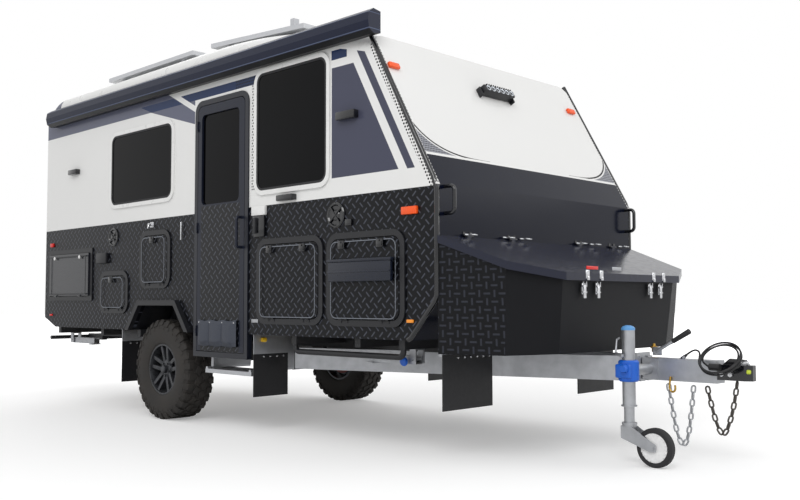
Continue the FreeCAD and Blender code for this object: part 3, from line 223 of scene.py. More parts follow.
# %% Paint
class Paint:
    """One procedural material on the Principled shader."""

    def __init__(self, name, color, rough=0.5, metal=0.0, **fixed):
        self.material = bpy.data.materials.new(name)
        self.material.use_nodes = True
        self.tree = self.material.node_tree
        self.tree.nodes.clear()
        self.shader = self.tree.nodes.new("ShaderNodeBsdfPrincipled")
        end = self.tree.nodes.new("ShaderNodeOutputMaterial")
        self.tree.links.new(self.shader.outputs[0], end.inputs[0])
        self.set("Base Color", color)
        self.set("Roughness", rough)
        self.set("Metallic", metal)
        for key, number in fixed.items():
            self.set(key.replace("_", " "), number)
        self.place = self.node("ShaderNodeTexCoord", {}, {}).outputs["Object"]
        parts = self.node("ShaderNodeSeparateXYZ", {}, {0: self.place})
        self.x, self.y, self.z = (Value(self, parts.outputs[i]) for i in range(3))

    def plug(self, socket, value):
        if isinstance(value, Value):
            value = value.socket
        if isinstance(value, bpy.types.NodeSocket):
            self.tree.links.new(value, socket)
        elif isinstance(value, tuple) and len(value) == 3 and socket.type == "RGBA":
            socket.default_value = (*value, 1)
        else:
            socket.default_value = value

    def set(self, name, value):
        self.plug(self.shader.inputs[name], value)

    def node(self, kind, settings, inputs):
        node = self.tree.nodes.new(kind)
        for key, value in settings.items():
            setattr(node, key, value)
        for key, value in inputs.items():
            self.plug(node.inputs[key], value)
        return node

    def noise(self, scale, detail=3.0, stretch=(1, 1, 1)):
        mapped = self.node("ShaderNodeMapping", {}, {"Vector": self.place, "Scale": stretch})
        node = self.node("ShaderNodeTexNoise", {}, {"Vector": mapped.outputs[0],
                                                   "Scale": scale, "Detail": detail})
        return Value(self, node.outputs[0])

    def facing(self, axis):
        """How far the surface faces along an axis of the object."""
        normal = self.node("ShaderNodeNewGeometry", {}, {}).outputs["Normal"]
        parts = self.node("ShaderNodeSeparateXYZ", {}, {0: normal})
        return Value(self, parts.outputs[axis])

    def blend(self, factor, first, second):
        """A colour mix: the first colour at 0, the second at 1."""
        node = self.node("ShaderNodeMix", {"data_type": "RGBA"}, {0: factor, 6: first, 7: second})
        return node.outputs[2]

    def bump(self, height, distance, strength=1.0):
        node = self.node("ShaderNodeBump", {}, {"Height": height, "Distance": distance,
                                                "Strength": strength})
        self.set("Normal", node.outputs["Normal"])


def grained(name, color, rough, metal=0.0, scale=60.0, depth=0.0004, tint=0.12, **fixed):
    """A plain finish with fine grain: small shifts of colour, gloss and height."""
    paint = Paint(name, color, rough, metal, **fixed)
    grain = paint.noise(scale)
    darker = tuple(c * (1 - tint) for c in color)
    lighter = tuple(min(c * (1 + tint), 1) for c in color)
    paint.set("Base Color", paint.blend(grain, darker, lighter))
    paint.set("Roughness", grain * 0.2 + (rough - 0.1))
    if depth:
        paint.bump(grain, depth)
    return paint.material


def dress(material, *names):
    """Give CAD nodes their finish."""
    for name in names:
        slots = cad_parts[name].data.materials
        slots.clear()
        slots.append(material)


# %% [markdown]
# Tread plate has short raised bars that lean left and right in turn. On the walls they
# stand at 45 degrees, so across and up are turned by an eighth of a circle first.

# %% Tread plate
def tread_bars(across, up, cell, long=0.40, thin=0.085):
    """Height of tread plate's bars, from 0 to 1, over two directions of the plate."""
    u, v = across.saw(cell), up.saw(cell)
    row = across.math("FLOOR", across * (1 / cell)) + up.math("FLOOR", up * (1 / cell))
    odd = row.math("PINGPONG", row, 1.0)
    lying = (1 - u.away(0).over(long, 0.12)) * (1 - v.away(0).over(thin, 0.08))
    standing = (1 - v.away(0).over(long, 0.12)) * (1 - u.away(0).over(thin, 0.08))
    return lying * odd + standing * (1 - odd)


TREAD_CELL = 0.050
WHITE = (0.80, 0.80, 0.79)
BLACK = srgb(16, 17, 21)
# The tread bars' colour is painted highlight: raised bars are as black as the plate, and the lighter grey
# stands in for light on them.
BAR_HIGHLIGHT = srgb(74, 77, 86)
SLATE = srgb(72, 74, 90)
NAVY = srgb(32, 50, 86)
GREY = srgb(98, 101, 118)


def leaning(paint, across, up, cell=TREAD_CELL):
    turned = math.sqrt(0.5)
    return tread_bars((across + up) * turned, (across - up) * turned, cell)


def tread_finish(name, axes="xz"):
    """Black powder-coated tread plate on a plane along two axes."""
    paint = Paint(name, BLACK, 0.3, Specular_IOR_Level=0.22)
    bars = leaning(paint, getattr(paint, axes[0]), getattr(paint, axes[1]))
    # The bars are raised by the bump; their lighter colour is painted highlight.
    paint.set("Base Color", paint.blend(bars, BLACK, BAR_HIGHLIGHT))
    paint.set("Roughness", paint.noise(30) * 0.12 + 0.26)
    paint.bump(bars, 0.002)
    return paint.material


# %% [markdown]
# The walls carry flat colour areas: a slate band under the awning, a slate panel by the
# front edge and stripes that run along it. Each is a mask on the wall's own x and z.

# %% Wall finish
WAIST_Z = 1.627
KNEE_X, KNEE_Z, LEAN = 2.017, 1.640, 0.552
BAND_Z = 2.518


def dots(paint, across, up, pitch=0.021):
    """Round holes of a perforated sheet, in rows that are offset by half a pitch."""
    row = up.math("FLOOR", up * (1 / pitch))
    shift = row.math("PINGPONG", row, 1.0) * (pitch / 2)
    u = (across + shift).saw(pitch)
    v = up.saw(pitch)
    spread = u.math("SQRT", u * u + v * v)
    return 1 - spread.over(0.33, 0.12)


def wall_finish(name, door_side):
    paint = Paint(name, WHITE, 0.22, Specular_IOR_Level=0.22)
    x, z = paint.x, paint.z
    edge = KNEE_X - (z - KNEE_Z) * LEAN - x
    slant = z + x * 0.51
    holes = dots(paint, x, z)
    band = z.over(BAND_Z)
    if door_side:
        wedge = (z + x * 0.2836).over(BAND_Z - 1.17 * 0.2836) * x.between(-1.17, -0.49)
        rear_part = band.either(wedge) * (1 - x.over(-0.49))
        slate = rear_part * (1 - slant.over(2.166))
        slate = slate.either(rear_part * slant.over(2.215) * (1 - band))
        navy = z.between(BAND_Z, 2.583) * (slant.over(2.215).either(
            (x + (z - BAND_Z) * 2.64).over(-1.162) * (1 - slant.over(2.166))))
        navy = navy * (1 - x.over(0.30))
        navy = navy.either(x.between(1.09, 1.24) * z.between(2.536, 2.60))
        mesh = x.between(0.222, 0.30) * z.between(1.75, BAND_Z)
        mesh = mesh.either(x.between(-0.16, 0.30) * z.between(2.47, BAND_Z))
        navy_mesh = x.between(0.02, 0.30) * z.between(BAND_Z, 2.583)
        panel_start = 1.094
    else:
        slate = band * (1 - x.over(0.9)) * (1 - slant.over(2.3))
        navy = band * x.between(-0.3, 0.9) * slant.over(2.36)
        mesh = x.between(0.33, 0.52) * z.between(1.75, BAND_Z)
        navy_mesh = mesh * 0
        panel_start = 1.425
    panel = edge.over(0.248) * x.over(panel_start) * z.between(1.752, 2.484)
    stripe = edge.between(0.113, 0.176) * z.over(1.748)
    strip = (1 - edge.over(0.058)) * z.over(WAIST_Z)
    low = 1 - z.over(WAIST_Z)
    bars = leaning(paint, x, z)
    color = paint.blend(paint.noise(1.5), tuple(c * 0.97 for c in WHITE), WHITE)
    color = paint.blend(slate, color, GREY)
    color = paint.blend(navy, color, NAVY)
    color = paint.blend(mesh.either(strip) * holes, color, BLACK)
    color = paint.blend(navy_mesh * holes, color, BLACK)
    color = paint.blend(panel.either(stripe), color, SLATE)
    if door_side:
        around_door = x.between(-0.514, 0.221) * z.between(WAIST_Z, 2.518)
        color = paint.blend(around_door, color, WHITE)
    # The plate's bars are raised by the bump; their lighter colour is painted highlight.
    plate = paint.blend(bars, BLACK, BAR_HIGHLIGHT)
    paint.set("Base Color", paint.blend(low, color, plate))
    paint.set("Roughness", low * 0.08 + 0.22)
    paint.bump(bars * low, 0.002)
    return paint.material


dress(wall_finish("right_wall_skin", True), "right_wall")
dress(wall_finish("left_wall_skin", False), "left_wall")
print("side walls dressed")

# %% [markdown]
# The front wall is white above and dark gloss below. In its lower corners a fine mesh
# fills a wedge whose inner border curves, drawn as an ellipse's quarter.

# %% Front, rear and roof finish
FRONT_SPLIT_Z = 1.835
DEEP = srgb(11, 17, 34)


def front_finish():
    paint = Paint("front_skin", WHITE, 0.2, Specular_IOR_Level=0.2)
    y, z = paint.y, paint.z
    out = (y.away(0) - 0.45) * (1 / 0.68)
    up = (z - FRONT_SPLIT_Z) * (1 / 0.525)
    reach = out.math("MAXIMUM", out, 0.0)
    rise = up.math("MAXIMUM", 1 - up, 0.0)
    ring = reach.math("POWER", reach, 3.2) + rise.math("POWER", rise, 3.2)
    corner = out.over(0.0) * (1 - up.over(1.0))
    wedge = ring.over(1.0, 0.02) * corner
    border = ring.between(0.94, 1.0, 0.01) * corner
    dark = 1 - z.over(FRONT_SPLIT_Z)
    line = z.between(FRONT_SPLIT_Z - 0.008, FRONT_SPLIT_Z + 0.008)
    weave = dots(paint, y, z, 0.014)
    color = paint.blend(paint.noise(1.2), tuple(c * 0.97 for c in WHITE), WHITE)
    color = paint.blend(wedge, color, paint.blend(weave, srgb(150, 152, 160), BLACK))
    color = paint.blend(border, color, BLACK)
    color = paint.blend(ring.between(1.0, 1.05, 0.01) * corner, color, WHITE)
    color = paint.blend(dark, color, DEEP)
    paint.set("Base Color", paint.blend(line, color, WHITE))
    paint.set("Roughness", dark * 0.02 + 0.16)
    paint.bump(paint.noise(3, 1.0), 0.0012)
    return paint.material


def rear_finish():
    paint = Paint("rear_skin", WHITE, 0.22, Specular_IOR_Level=0.3)
    low = 1 - paint.z.over(WAIST_Z)
    bars = leaning(paint, paint.y, paint.z)
    band = paint.z.between(BAND_Z, 2.60)
    color = paint.blend(paint.noise(1.5), tuple(c * 0.97 for c in WHITE), WHITE)
    color = paint.blend(band, color, GREY)
    # The plate's bars are raised by the bump; their lighter colour is painted highlight.
    paint.set("Base Color", paint.blend(low, color, paint.blend(bars, BLACK, BAR_HIGHLIGHT)))
    paint.bump(bars * low, 0.002)
    return paint.material


front_skin = front_finish()
rear_skin = rear_finish()
dress(front_skin, "front_wall", "front_upper_panel")
dress(rear_skin, "rear_wall")
dress(grained("gelcoat", WHITE, 0.3, scale=8, depth=0, tint=0.03), "roof")
print("front, rear and roof dressed")

# %% [markdown]
# The other finishes repeat over many nodes: powder coat, rubber, hot-dip zinc, paint.

# %% Shared finishes
powder = grained("powder_black", srgb(27, 28, 32), 0.42, scale=240)
dress(powder, "wheel_tubs", "arch_trims", "hatch_frames", "side_rails", "rear_bumper",
      "vent_lid", "roof_vent")
gloss_black = grained("gloss_black", srgb(20, 21, 25), 0.18, scale=30, depth=0, Coat_Weight=0.5)
dress(gloss_black, "front_fittings", "coupling")
white_rim = grained("white_frame", (0.78, 0.78, 0.77), 0.3, scale=20, depth=0, tint=0.03)
dress(white_rim, "window_frames")
rubber = grained("rubber", srgb(42, 42, 44), 0.72, scale=120, depth=0.0006)
flap_rubber = grained("flap_rubber", srgb(24, 24, 27), 0.5, scale=40)
dress(flap_rubber, "mud_flaps")
dress(grained("arm_paint", srgb(118, 40, 30), 0.45), "trailing_arms")
dress(grained("spring_paint", srgb(50, 52, 58), 0.4), "springs_and_dampers")
dress(grained("chassis_black", srgb(38, 39, 42), 0.5), "chassis_frame")
dress(grained("tank_plastic", srgb(58, 59, 62), 0.6), "water_tank")
dress(grained("board", srgb(120, 105, 90), 0.7), "floor_panel")


def zinc_finish(name, color, rough):
    """Hot-dip zinc: cloudy spangle in colour and gloss."""
    paint = Paint(name, color, rough, 0.85)
    cloud = paint.noise(14, 4.0)
    spangle = paint.noise(120, 2.0)
    darker = tuple(c * 0.72 for c in color)
    paint.set("Base Color", paint.blend(cloud, darker, tuple(min(c * 1.2, 1) for c in color)))
    paint.set("Roughness", spangle * 0.25 + (rough - 0.12))
    paint.bump(spangle, 0.0003)
    return paint.material


zinc = zinc_finish("zinc", srgb(178, 180, 184), 0.40)
steel = zinc_finish("stainless", srgb(214, 215, 218), 0.22)
dress(zinc, "drawbar", "jockey_bracket", "jockey_tube", "jockey_inner", "jockey_fork",
      "underbody_brackets", "front_right_steady", "front_left_steady",
      "rear_right_steady", "rear_left_steady")
blue_plastic = grained("blue_plastic", srgb(28, 96, 200), 0.35, scale=80, tint=0.06)
amber = grained("amber_lens", srgb(246, 88, 30), 0.25, scale=200, tint=0.1)
low_amber = grained("low_amber_lens", srgb(250, 150, 50), 0.25, scale=200, tint=0.1)
red = grained("red_lens", srgb(214, 36, 30), 0.22, scale=200, tint=0.1)
silver_label = grained("blank_plate", srgb(170, 172, 176), 0.35, 0.6, scale=150)
print("materials", len(bpy.data.materials))

# %% [markdown]
# Small parts are made of a few shapes: blocks with rounded edges, rods and turned
# profiles. Each helper adds its shape to a bmesh, so one piece may hold many of them.

# %% Shape helpers
def soften(bm, edges, width, segments=2):
    bmesh.ops.bevel(bm, geom=list(edges), offset=width, affect="EDGES", segments=segments,
                    profile=0.5, material=-1)


def add_block(bm, low, high, bevel=0.003, segments=2, turn=None):
    """A box between two corners, optionally turned about its middle."""
    low, high = Vector(low), Vector(high)
    place = Matrix.Translation((low + high) / 2) @ (turn or Matrix())
    place = place @ Matrix.Diagonal((*(high - low), 1))
    verts = bmesh.ops.create_cube(bm, size=1, matrix=place)["verts"]
    if bevel:
        soften(bm, {e for v in verts for e in v.link_edges}, bevel, segments)


def add_rod(bm, start, end, radius, end_radius=None, bevel=0.0, segments=24):
    """A round bar or cone between two points."""
    start, end = Vector(start), Vector(end)
    line = end - start
    turned = line.to_track_quat("Z", "Y").to_matrix().to_4x4()
    far = radius if end_radius is None else end_radius
    verts = bmesh.ops.create_cone(bm, cap_ends=True, segments=segments, radius1=radius,
                                  radius2=far, depth=line.length,
                                  matrix=Matrix.Translation((start + end) / 2) @ turned)["verts"]
    if bevel:
        edges = {e for v in verts for e in v.link_edges}
        soften(bm, [e for e in edges if e.calc_face_angle(0) > 0.9], bevel)


def add_turned(bm, profile, centre, axis, steps=48):
    """A closed (along, radius) profile turned about an axis through the centre."""
    centre, axis = Vector(centre), Vector(axis)
    side = axis.orthogonal().normalized()
    verts = [bm.verts.new(centre + axis * along + side * radius) for along, radius in profile]
    edges = [bm.edges.new(pair) for pair in zip(verts, verts[1:] + verts[:1])]
    bmesh.ops.spin(bm, geom=verts + edges, cent=centre, axis=axis, angle=2 * math.pi,
                   steps=steps, use_merge=True)
    bmesh.ops.remove_doubles(bm, verts=bm.verts, dist=1e-6)


def bar_piece(name, rows, finish, body="body", bevel=0.003):
    """One piece from several blocks, each a (low, high) pair."""
    bm = bmesh.new()
    for low, high in rows:
        add_block(bm, low, high, bevel)
    return piece(name, bm, finish, body)


WALL_Y = 1.095
print("wall face at y", -WALL_Y)

# %% [markdown]
# The tyres are mud-terrain ones: a carcass turned from a closed profile, and blocks
# round it. Two staggered rows fill the middle and long lugs wrap over each shoulder.

# %% Tyres
TYRE_R, TYRE_HALF, BEAD_R = 0.402, 0.1325, 0.2045
PITCHES = 30
SIDE = [(-0.110, BEAD_R), (-0.119, 0.213), (-0.127, 0.235), (-0.1315, 0.275),
        (-0.1315, 0.325), (-0.127, 0.358), (-0.114, 0.381), (-0.090, 0.389), (-0.030, 0.391)]
HOLLOW = [(-0.100, BEAD_R), (-0.112, 0.240), (-0.112, 0.350), (-0.080, 0.374)]
WHEEL_PLACES = {
    "right": (Matrix.Translation((-0.993, -0.9545, 0.402)), "right_wheel"),
    "left": (Matrix.Translation((-0.993, 0.9545, 0.402)) @ Matrix.Rotation(math.pi, 4, "Z"),
             "left_wheel"),
    "spare": (Matrix.Translation((-3.2705, 0, 1.12)) @ Matrix.Rotation(-math.pi / 2, 4, "Z"),
              "body"),
}


def around(angle, radius, along):
    """A place and turn on a wheel about y, with local z outwards and x round it."""
    return (Matrix.Rotation(angle, 4, "Y") @ Matrix.Translation((0, along, radius)))


def add_lug(bm, angle, radius, along, size, tip=0.0, twist=0.0):
    place = around(angle, radius, along) @ Matrix.Rotation(tip, 4, "X")
    place = place @ Matrix.Rotation(twist, 4, "Z") @ Matrix.Diagonal((*size, 1))
    verts = bmesh.ops.create_cube(bm, size=1, matrix=place)["verts"]
    soften(bm, {e for v in verts for e in v.link_edges}, 0.0025, 1)


def tyre_mesh():
    bm = bmesh.new()
    outer = SIDE + [(-y, r) for y, r in reversed(SIDE)]
    inner = [(-y, r) for y, r in HOLLOW] + list(reversed(HOLLOW))
    add_turned(bm, outer + inner, (0, 0, 0), (0, 1, 0), 90)
    step = 2 * math.pi / PITCHES
    for index in range(PITCHES):
        for side in (-1, 1):
            angle = index * step + (step / 2 if side > 0 else 0)
            long = 0.052 if index % 2 else 0.040
            add_lug(bm, angle, 0.3925, side * 0.092, (0.050, 0.046, 0.017), 0, side * 0.12)
            add_lug(bm, angle, 0.372, side * 0.1195, (0.048, long, 0.016), side * -1.12)
            add_lug(bm, angle + step * 0.45, 0.3925, side * 0.030, (0.058, 0.044, 0.0175),
                    0, side * 0.5)
            add_lug(bm, angle + step * 0.5, 0.336, side * 0.1305, (0.022, 0.036, 0.006),
                    side * -1.5)
    return bm


def rubber_finish():
    """Tyre rubber with cloudy patches of dust, browner and duller than the rest."""
    paint = Paint("tyre_rubber", srgb(44, 43, 42), 0.75)
    dust = paint.noise(9, 4.0)
    paint.set("Base Color", paint.blend(dust, srgb(24, 24, 25), srgb(58, 54, 50)))
    paint.set("Roughness", dust * 0.25 + 0.6)
    paint.bump(paint.noise(160), 0.0006)
    return paint.material


tyre_finish = rubber_finish()
for side, (place, body) in WHEEL_PLACES.items():
    bm = tyre_mesh()
    bmesh.ops.transform(bm, matrix=place, verts=bm.verts)
    tyre = piece(side + "_tyre_tread", bm, tyre_finish, body, 25)
    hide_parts(side + "_tyre")
print("tyres", len(tyre.data.polygons), "faces each")

# %% [markdown]
# The wheels are satin-black alloys with five split spokes. A spoke is a tapered block:
# a cube whose outer face is scaled and moved. A long cap stands out of the middle.

# %% Alloy wheels
BARREL = [(-0.111, 0.2035), (-0.111, 0.190), (-0.096, 0.186), (-0.070, 0.180), (0.085, 0.178),
          (0.1105, 0.188), (0.1105, 0.2035), (0.090, 0.2035), (0.080, 0.192), (-0.080, 0.192),
          (-0.090, 0.2035)]


def add_spoke(bm, turn, inner, outer):
    """One tapered arm from (radius, front, back, width) to another such row."""
    verts = bmesh.ops.create_cube(bm, size=1)["verts"]
    for vert in verts:
        radius, front, back, width = outer if vert.co.z > 0 else inner
        vert.co = turn @ Vector((vert.co.x * width, front if vert.co.y < 0 else back, radius))
    soften(bm, {e for v in verts for e in v.link_edges}, 0.005)


def alloy_mesh():
    bm = bmesh.new()
    add_turned(bm, BARREL, (0, 0, 0), (0, 1, 0), 72)
    add_turned(bm, [(-0.082, 0.0), (-0.082, 0.058), (-0.074, 0.078), (-0.020, 0.084),
                    (-0.020, 0.0)], (0, 0, 0), (0, 1, 0), 48)
    add_turned(bm, [(-0.114, 0.0), (-0.114, 0.022), (-0.108, 0.030), (-0.082, 0.033),
                    (-0.076, 0.0)], (0, 0, 0), (0, 1, 0), 32)
    add_turned(bm, [(-0.018, 0.0), (-0.018, 0.145), (0.045, 0.150), (0.045, 0.0)],
               (0, 0, 0), (0, 1, 0), 48)
    for index in range(5):
        middle = 2 * math.pi * index / 5
        for lean in (-1, 1):
            turned = Matrix.Rotation(middle + lean * 0.13, 4, "Y")
            add_spoke(bm, turned @ Matrix.Translation((lean * 0.016, 0, 0)),
                      (0.050, -0.078, -0.030, 0.034), (0.186, -0.100, -0.052, 0.030))
        add_rod(bm, around(middle + 0.63, 0.052, -0.080).translation,
                around(middle + 0.63, 0.052, -0.092).translation, 0.010, 0.008, 0, 6)
    return bm


alloy = Paint("alloy_black", srgb(38, 39, 42), 0.3, 0.55)
# Cloudy lighter patches on the satin black are painted highlights, glints of light on the metal; the same
# noise varies the gloss.
painted_glint_noise = alloy.noise(30, 3.0)
alloy.set("Base Color", alloy.blend(painted_glint_noise, srgb(40, 41, 44), srgb(84, 86, 90)))
alloy.set("Roughness", painted_glint_noise * 0.15 + 0.22)
alloy.bump(alloy.noise(150), 0.0002)
for side, (place, body) in WHEEL_PLACES.items():
    bm = alloy_mesh()
    bmesh.ops.transform(bm, matrix=place, verts=bm.verts)
    wheel = piece(side + "_alloy", bm, alloy.material, body)
    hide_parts(side + "_rim")
dress(grained("white_nylon", srgb(236, 236, 236), 0.5), "jockey_rim")
dress(rubber, "jockey_tyre")
print("alloys", len(wheel.data.polygons), "faces each")

# %% [markdown]
# The hatches, the box and the door share the tread plate. A box side's plate is laid
# straight, and the door is painted slate with a plate panel in its lower half.

# %% Hatches, box, door and awning
hatch_skin = tread_finish("hatch_skin")
dress(hatch_skin, "right_front_hatch", "right_middle_hatch", "right_tall_hatch",
      "right_rear_hatch", "left_front_hatch", "left_rear_hatch")


def box_finish(name, plain_color, rough):
    """Plate on the sides of the box, and a speckled coat on its other faces."""
    paint = Paint(name, BLACK, rough, Specular_IOR_Level=0.2)
    side = paint.facing(1).away(0).over(0.5)
    bars = tread_bars(paint.x, paint.z, 0.046, 0.44, 0.12) * side
    speck = paint.noise(420, 1.0).over(0.56, 0.05)
    coat = paint.blend(speck, plain_color, tuple(c * 1.9 for c in plain_color))
    # The box side's bars are raised by the bump; their lighter grey is painted highlight.
    paint.set("Base Color", paint.blend(side, coat, paint.blend(bars, BLACK, srgb(50, 52, 60))))
    paint.set("Roughness", side * -0.12 + rough)
    paint.bump(bars + speck * 0.12, 0.002)
    return paint.material


dress(box_finish("box_coat", srgb(15, 16, 20), 0.5), "front_box")
dress(grained("lid_paint", srgb(11, 19, 42), 0.2, scale=30, depth=0.0002),
      "box_lid")


def door_finish(name):
    paint = Paint(name, srgb(30, 34, 46), 0.3, Specular_IOR_Level=0.3)
    grain = paint.noise(200)
    slate = paint.blend(grain, srgb(27, 31, 43), srgb(34, 38, 51))
    panel = (1 - paint.z.over(1.672)) * paint.x.between(-0.398, 0.098)
    bars = leaning(paint, paint.x, paint.z)
    # The panel's bars are raised by the bump; their lighter colour is painted highlight.
    paint.set("Base Color", paint.blend(panel, slate, paint.blend(bars, BLACK, BAR_HIGHLIGHT)))
    paint.set("Roughness", grain * 0.1 + 0.24)
    paint.bump(bars * panel, 0.0018)
    return paint.material


dress(door_finish("door_paint"), "entry_door")
dress(grained("door_frame_paint", srgb(26, 29, 38), 0.35, scale=200), "door_frame")


def awning_finish():
    """Navy vinyl on the cassette's face, black under it, with two grooves whose lighter colour is painted
    highlight.
    """
    paint = Paint("awning_vinyl", NAVY, 0.4, Specular_IOR_Level=0.3)
    under = 1 - paint.facing(2).over(-0.4, 0.1)
    lines = paint.z.between(2.640, 2.646).either(paint.z.between(2.742, 2.747))
    weave = paint.noise(220)
    color = paint.blend(weave, srgb(11, 19, 40), srgb(19, 29, 54))
    # The two grooves are sunk by the bump; their lighter colour is painted highlight.
    color = paint.blend(lines, color, srgb(78, 88, 112))
    paint.set("Base Color", paint.blend(under, color, srgb(18, 19, 23)))
    paint.bump(weave + lines * -2.0, 0.0006)
    return paint.material


def solar_finish():
    """Dark cells with thin bus lines in a silver frame; the edges face sideways."""
    paint = Paint("solar_glass", srgb(18, 24, 44), 0.12, Coat_Weight=0.6)
    flat = paint.facing(2).over(0.7, 0.1)
    cell = paint.x.saw(0.158).away(0).over(0.49, 0.01).either(
        paint.y.saw(0.158).away(0).over(0.49, 0.01))
    bus = paint.y.saw(0.0395).away(0).over(0.487, 0.01) * 0.4
    color = paint.blend(paint.noise(5), srgb(16, 22, 42), srgb(24, 32, 58))
    color = paint.blend(cell.either(bus), color, srgb(150, 156, 168))
    paint.set("Base Color", paint.blend(flat, srgb(190, 192, 196), color))
    paint.set("Roughness", flat * -0.25 + 0.38)
    return paint.material


dress(awning_finish(), "awning")
dress(solar_finish(), "solar_panels")
dress(grained("step_metal", srgb(190, 192, 196), 0.35, 0.8, scale=60), "entry_step")
dress(grained("table_skin", srgb(30, 32, 38), 0.28, scale=160, Coat_Weight=0.3), "table_panel")
dress(grained("plug_black", srgb(28, 28, 31), 0.45), "cable_plug")


def glass_finish():
    """Dark acrylic: nearly opaque, glossy and a little hazy."""
    paint = Paint("tinted_glass", srgb(6, 6, 8), 0.05, Specular_IOR_Level=0.1)
    haze = paint.noise(2.0)
    paint.set("Base Color", paint.blend(haze, srgb(5, 5, 7), srgb(12, 13, 17)))
    return paint.material


dress(glass_finish(), "windows", "door_glass")


def floor_finish():
    paint = Paint("studio_floor", (0.8, 0.8, 0.8), 0.9)
    rays = paint.node("ShaderNodeLightPath", {}, {}).outputs["Is Camera Ray"]
    paint.set("Base Color", paint.blend(paint.noise(0.5), (0.80, 0.80, 0.80), (0.82, 0.82, 0.82)))
    spread = paint.x.math("SQRT", paint.x * paint.x + paint.y * paint.y)
    glow = paint.blend(spread.over(8.0, 8.0), (0.28, 0.28, 0.28), (1, 1, 1))
    paint.set("Emission Color", paint.blend(rays, (0, 0, 0), glow))
    paint.set("Emission Strength", 1.0)
    return paint.material


floor.data.materials.append(floor_finish())
print("materials", len(bpy.data.materials))

# %% [markdown]
# A bead runs round each hatch leaf, and each leaf has one or two latches with a sunk paddle.
# They ride on their leaf, so they swing with it.

# %% Hatch latches and beads
LATCHES = {
    "right_front_hatch": (-1, [(1.220, 1.309), (1.572, 1.307)]),
    "right_middle_hatch": (-1, [(0.468, 1.312), (0.828, 1.308)]),
    "right_tall_hatch": (-1, [(-1.088, 1.452)]),
    "right_rear_hatch": (-1, [(-1.755, 1.139)]),
    "left_front_hatch": (1, [(1.220, 1.309), (1.572, 1.307)]),
    "left_rear_hatch": (1, [(-2.66, 1.309), (-2.31, 1.309)]),
}
# The bead's light grey metal is painted highlight: the raised bead round each hatch is black like its frame,
# and the grey stands in for light along its edge.
bead_highlight_paint = grained("edge_bead_highlight", srgb(120, 124, 132), 0.3, 0.7, scale=60, depth=0)


def add_ring(bm, low, high, y, width, depth, corner):
    """A flat frame with round corners on a wall: an outline inset, then given depth."""
    (x0, z0), (x1, z1) = low, high
    rows = [(x0, z0), (x1, z0), (x1, z1), (x0, z1)]
    verts = [bm.verts.new((x, y, z)) for x, z in rows]
    face = bm.faces.new(verts)
    bmesh.ops.bevel(bm, geom=verts, offset=corner, affect="VERTICES", segments=6,
                    profile=0.5, material=-1)
    face = max(bm.faces, key=lambda f: f.calc_area())
    made = bmesh.ops.inset_region(bm, faces=[face], thickness=width, use_boundary=True,
                                  use_even_offset=True)
    bmesh.ops.delete(bm, geom=[face], context="FACES")
    grown = bmesh.ops.extrude_face_region(bm, geom=made["faces"])
    moved = [g for g in grown["geom"] if isinstance(g, bmesh.types.BMVert)]
    bmesh.ops.translate(bm, verts=moved, vec=(0, depth, 0))


for name, (side, places) in LATCHES.items():
    low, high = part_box(name)
    bm = bmesh.new()
    edge = 0.012
    add_ring(bm, (low[0] + edge, low[2] + edge), (high[0] - edge, high[2] - edge),
             side * 1.1205, 0.006, side * 0.003, 0.05)
    piece(name + "_bead", bm, bead_highlight_paint, name)
    bm = bmesh.new()
    for x, z in places:
        y = side * 1.1205
        rows = sorted((y, y + side * 0.009)), sorted((y + side * 0.006, y + side * 0.014))
        add_block(bm, (x - 0.030, rows[0][0], z - 0.026), (x + 0.030, rows[0][1], z + 0.026), 0.004)
        add_block(bm, (x - 0.022, rows[1][0], z - 0.019), (x + 0.022, rows[1][1], z + 0.010), 0.003)
        add_rod(bm, (x, rows[1][0], z + 0.017), (x, rows[1][1] + side * 0.001, z + 0.017), 0.006,
                bevel=0.001, segments=16)
    piece(name + "_latch", bm, gloss_black, name)
print("latches on", len(LATCHES), "hatches")

# %% [markdown]
# A black rubber seal stands inside each window's white frame, as a ring cut by insetting
# a rounded rectangle.

# %% Window seals
SEALS = {
    "right_rear_seal": (-1, (-1.794, 1.785), (-0.827, 2.390)),
    "right_front_seal": (-1, (0.295, 1.734), (1.053, 2.578)),
    "left_rear_seal": (1, (-2.250, 1.785), (-1.283, 2.390)),
    "left_middle_seal": (1, (-0.520, 1.785), (0.238, 2.390)),
    "left_front_seal": (1, (0.620, 1.785), (1.378, 2.390)),
}
for name, (side, low, high) in SEALS.items():
    bm = bmesh.new()
    add_ring(bm, low, high, side * 1.1015, 0.017, side * 0.006, 0.068)
    piece(name, bm, rubber, "body")
print("seals", len(SEALS))

# %% [markdown]
# Aluminium edge mouldings in gloss black cover the corners where the side walls meet the
# front. Each is a curve with round thickness, through the corners of the wall's edge.

# %% Edge mouldings
MOULDING = 0.016
EDGE_LINE = [(1.440, 2.660), (1.780, 2.050), (1.985, 1.680), (2.009, 1.610), (2.009, 0.985),
             (1.990, 0.945), (1.800, 0.728), (1.775, 0.716)]
for side, y in (("right", -1.084), ("left", 1.084)):
    data = bpy.data.curves.new(side + "_edge", "CURVE")
    data.dimensions = "3D"
    data.bevel_depth = MOULDING
    data.bevel_resolution = 4
    data.use_fill_caps = True
    spline = data.splines.new("POLY")
    spline.points.add(len(EDGE_LINE) - 1)
    for point, (x, z) in zip(spline.points, EDGE_LINE):
        point.co = (x, y, z, 1)
    edge = link(bpy.data.objects.new(side + "_edge_moulding", data))
    data.materials.append(gloss_black)
    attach(edge, "body")
print("edge mouldings of", len(EDGE_LINE), "points")

# %% [markdown]
# The walls carry many small fittings. Those that are plain blocks come from one table:
# low and high corners as seen from the side, how far they stand out, and the finish.

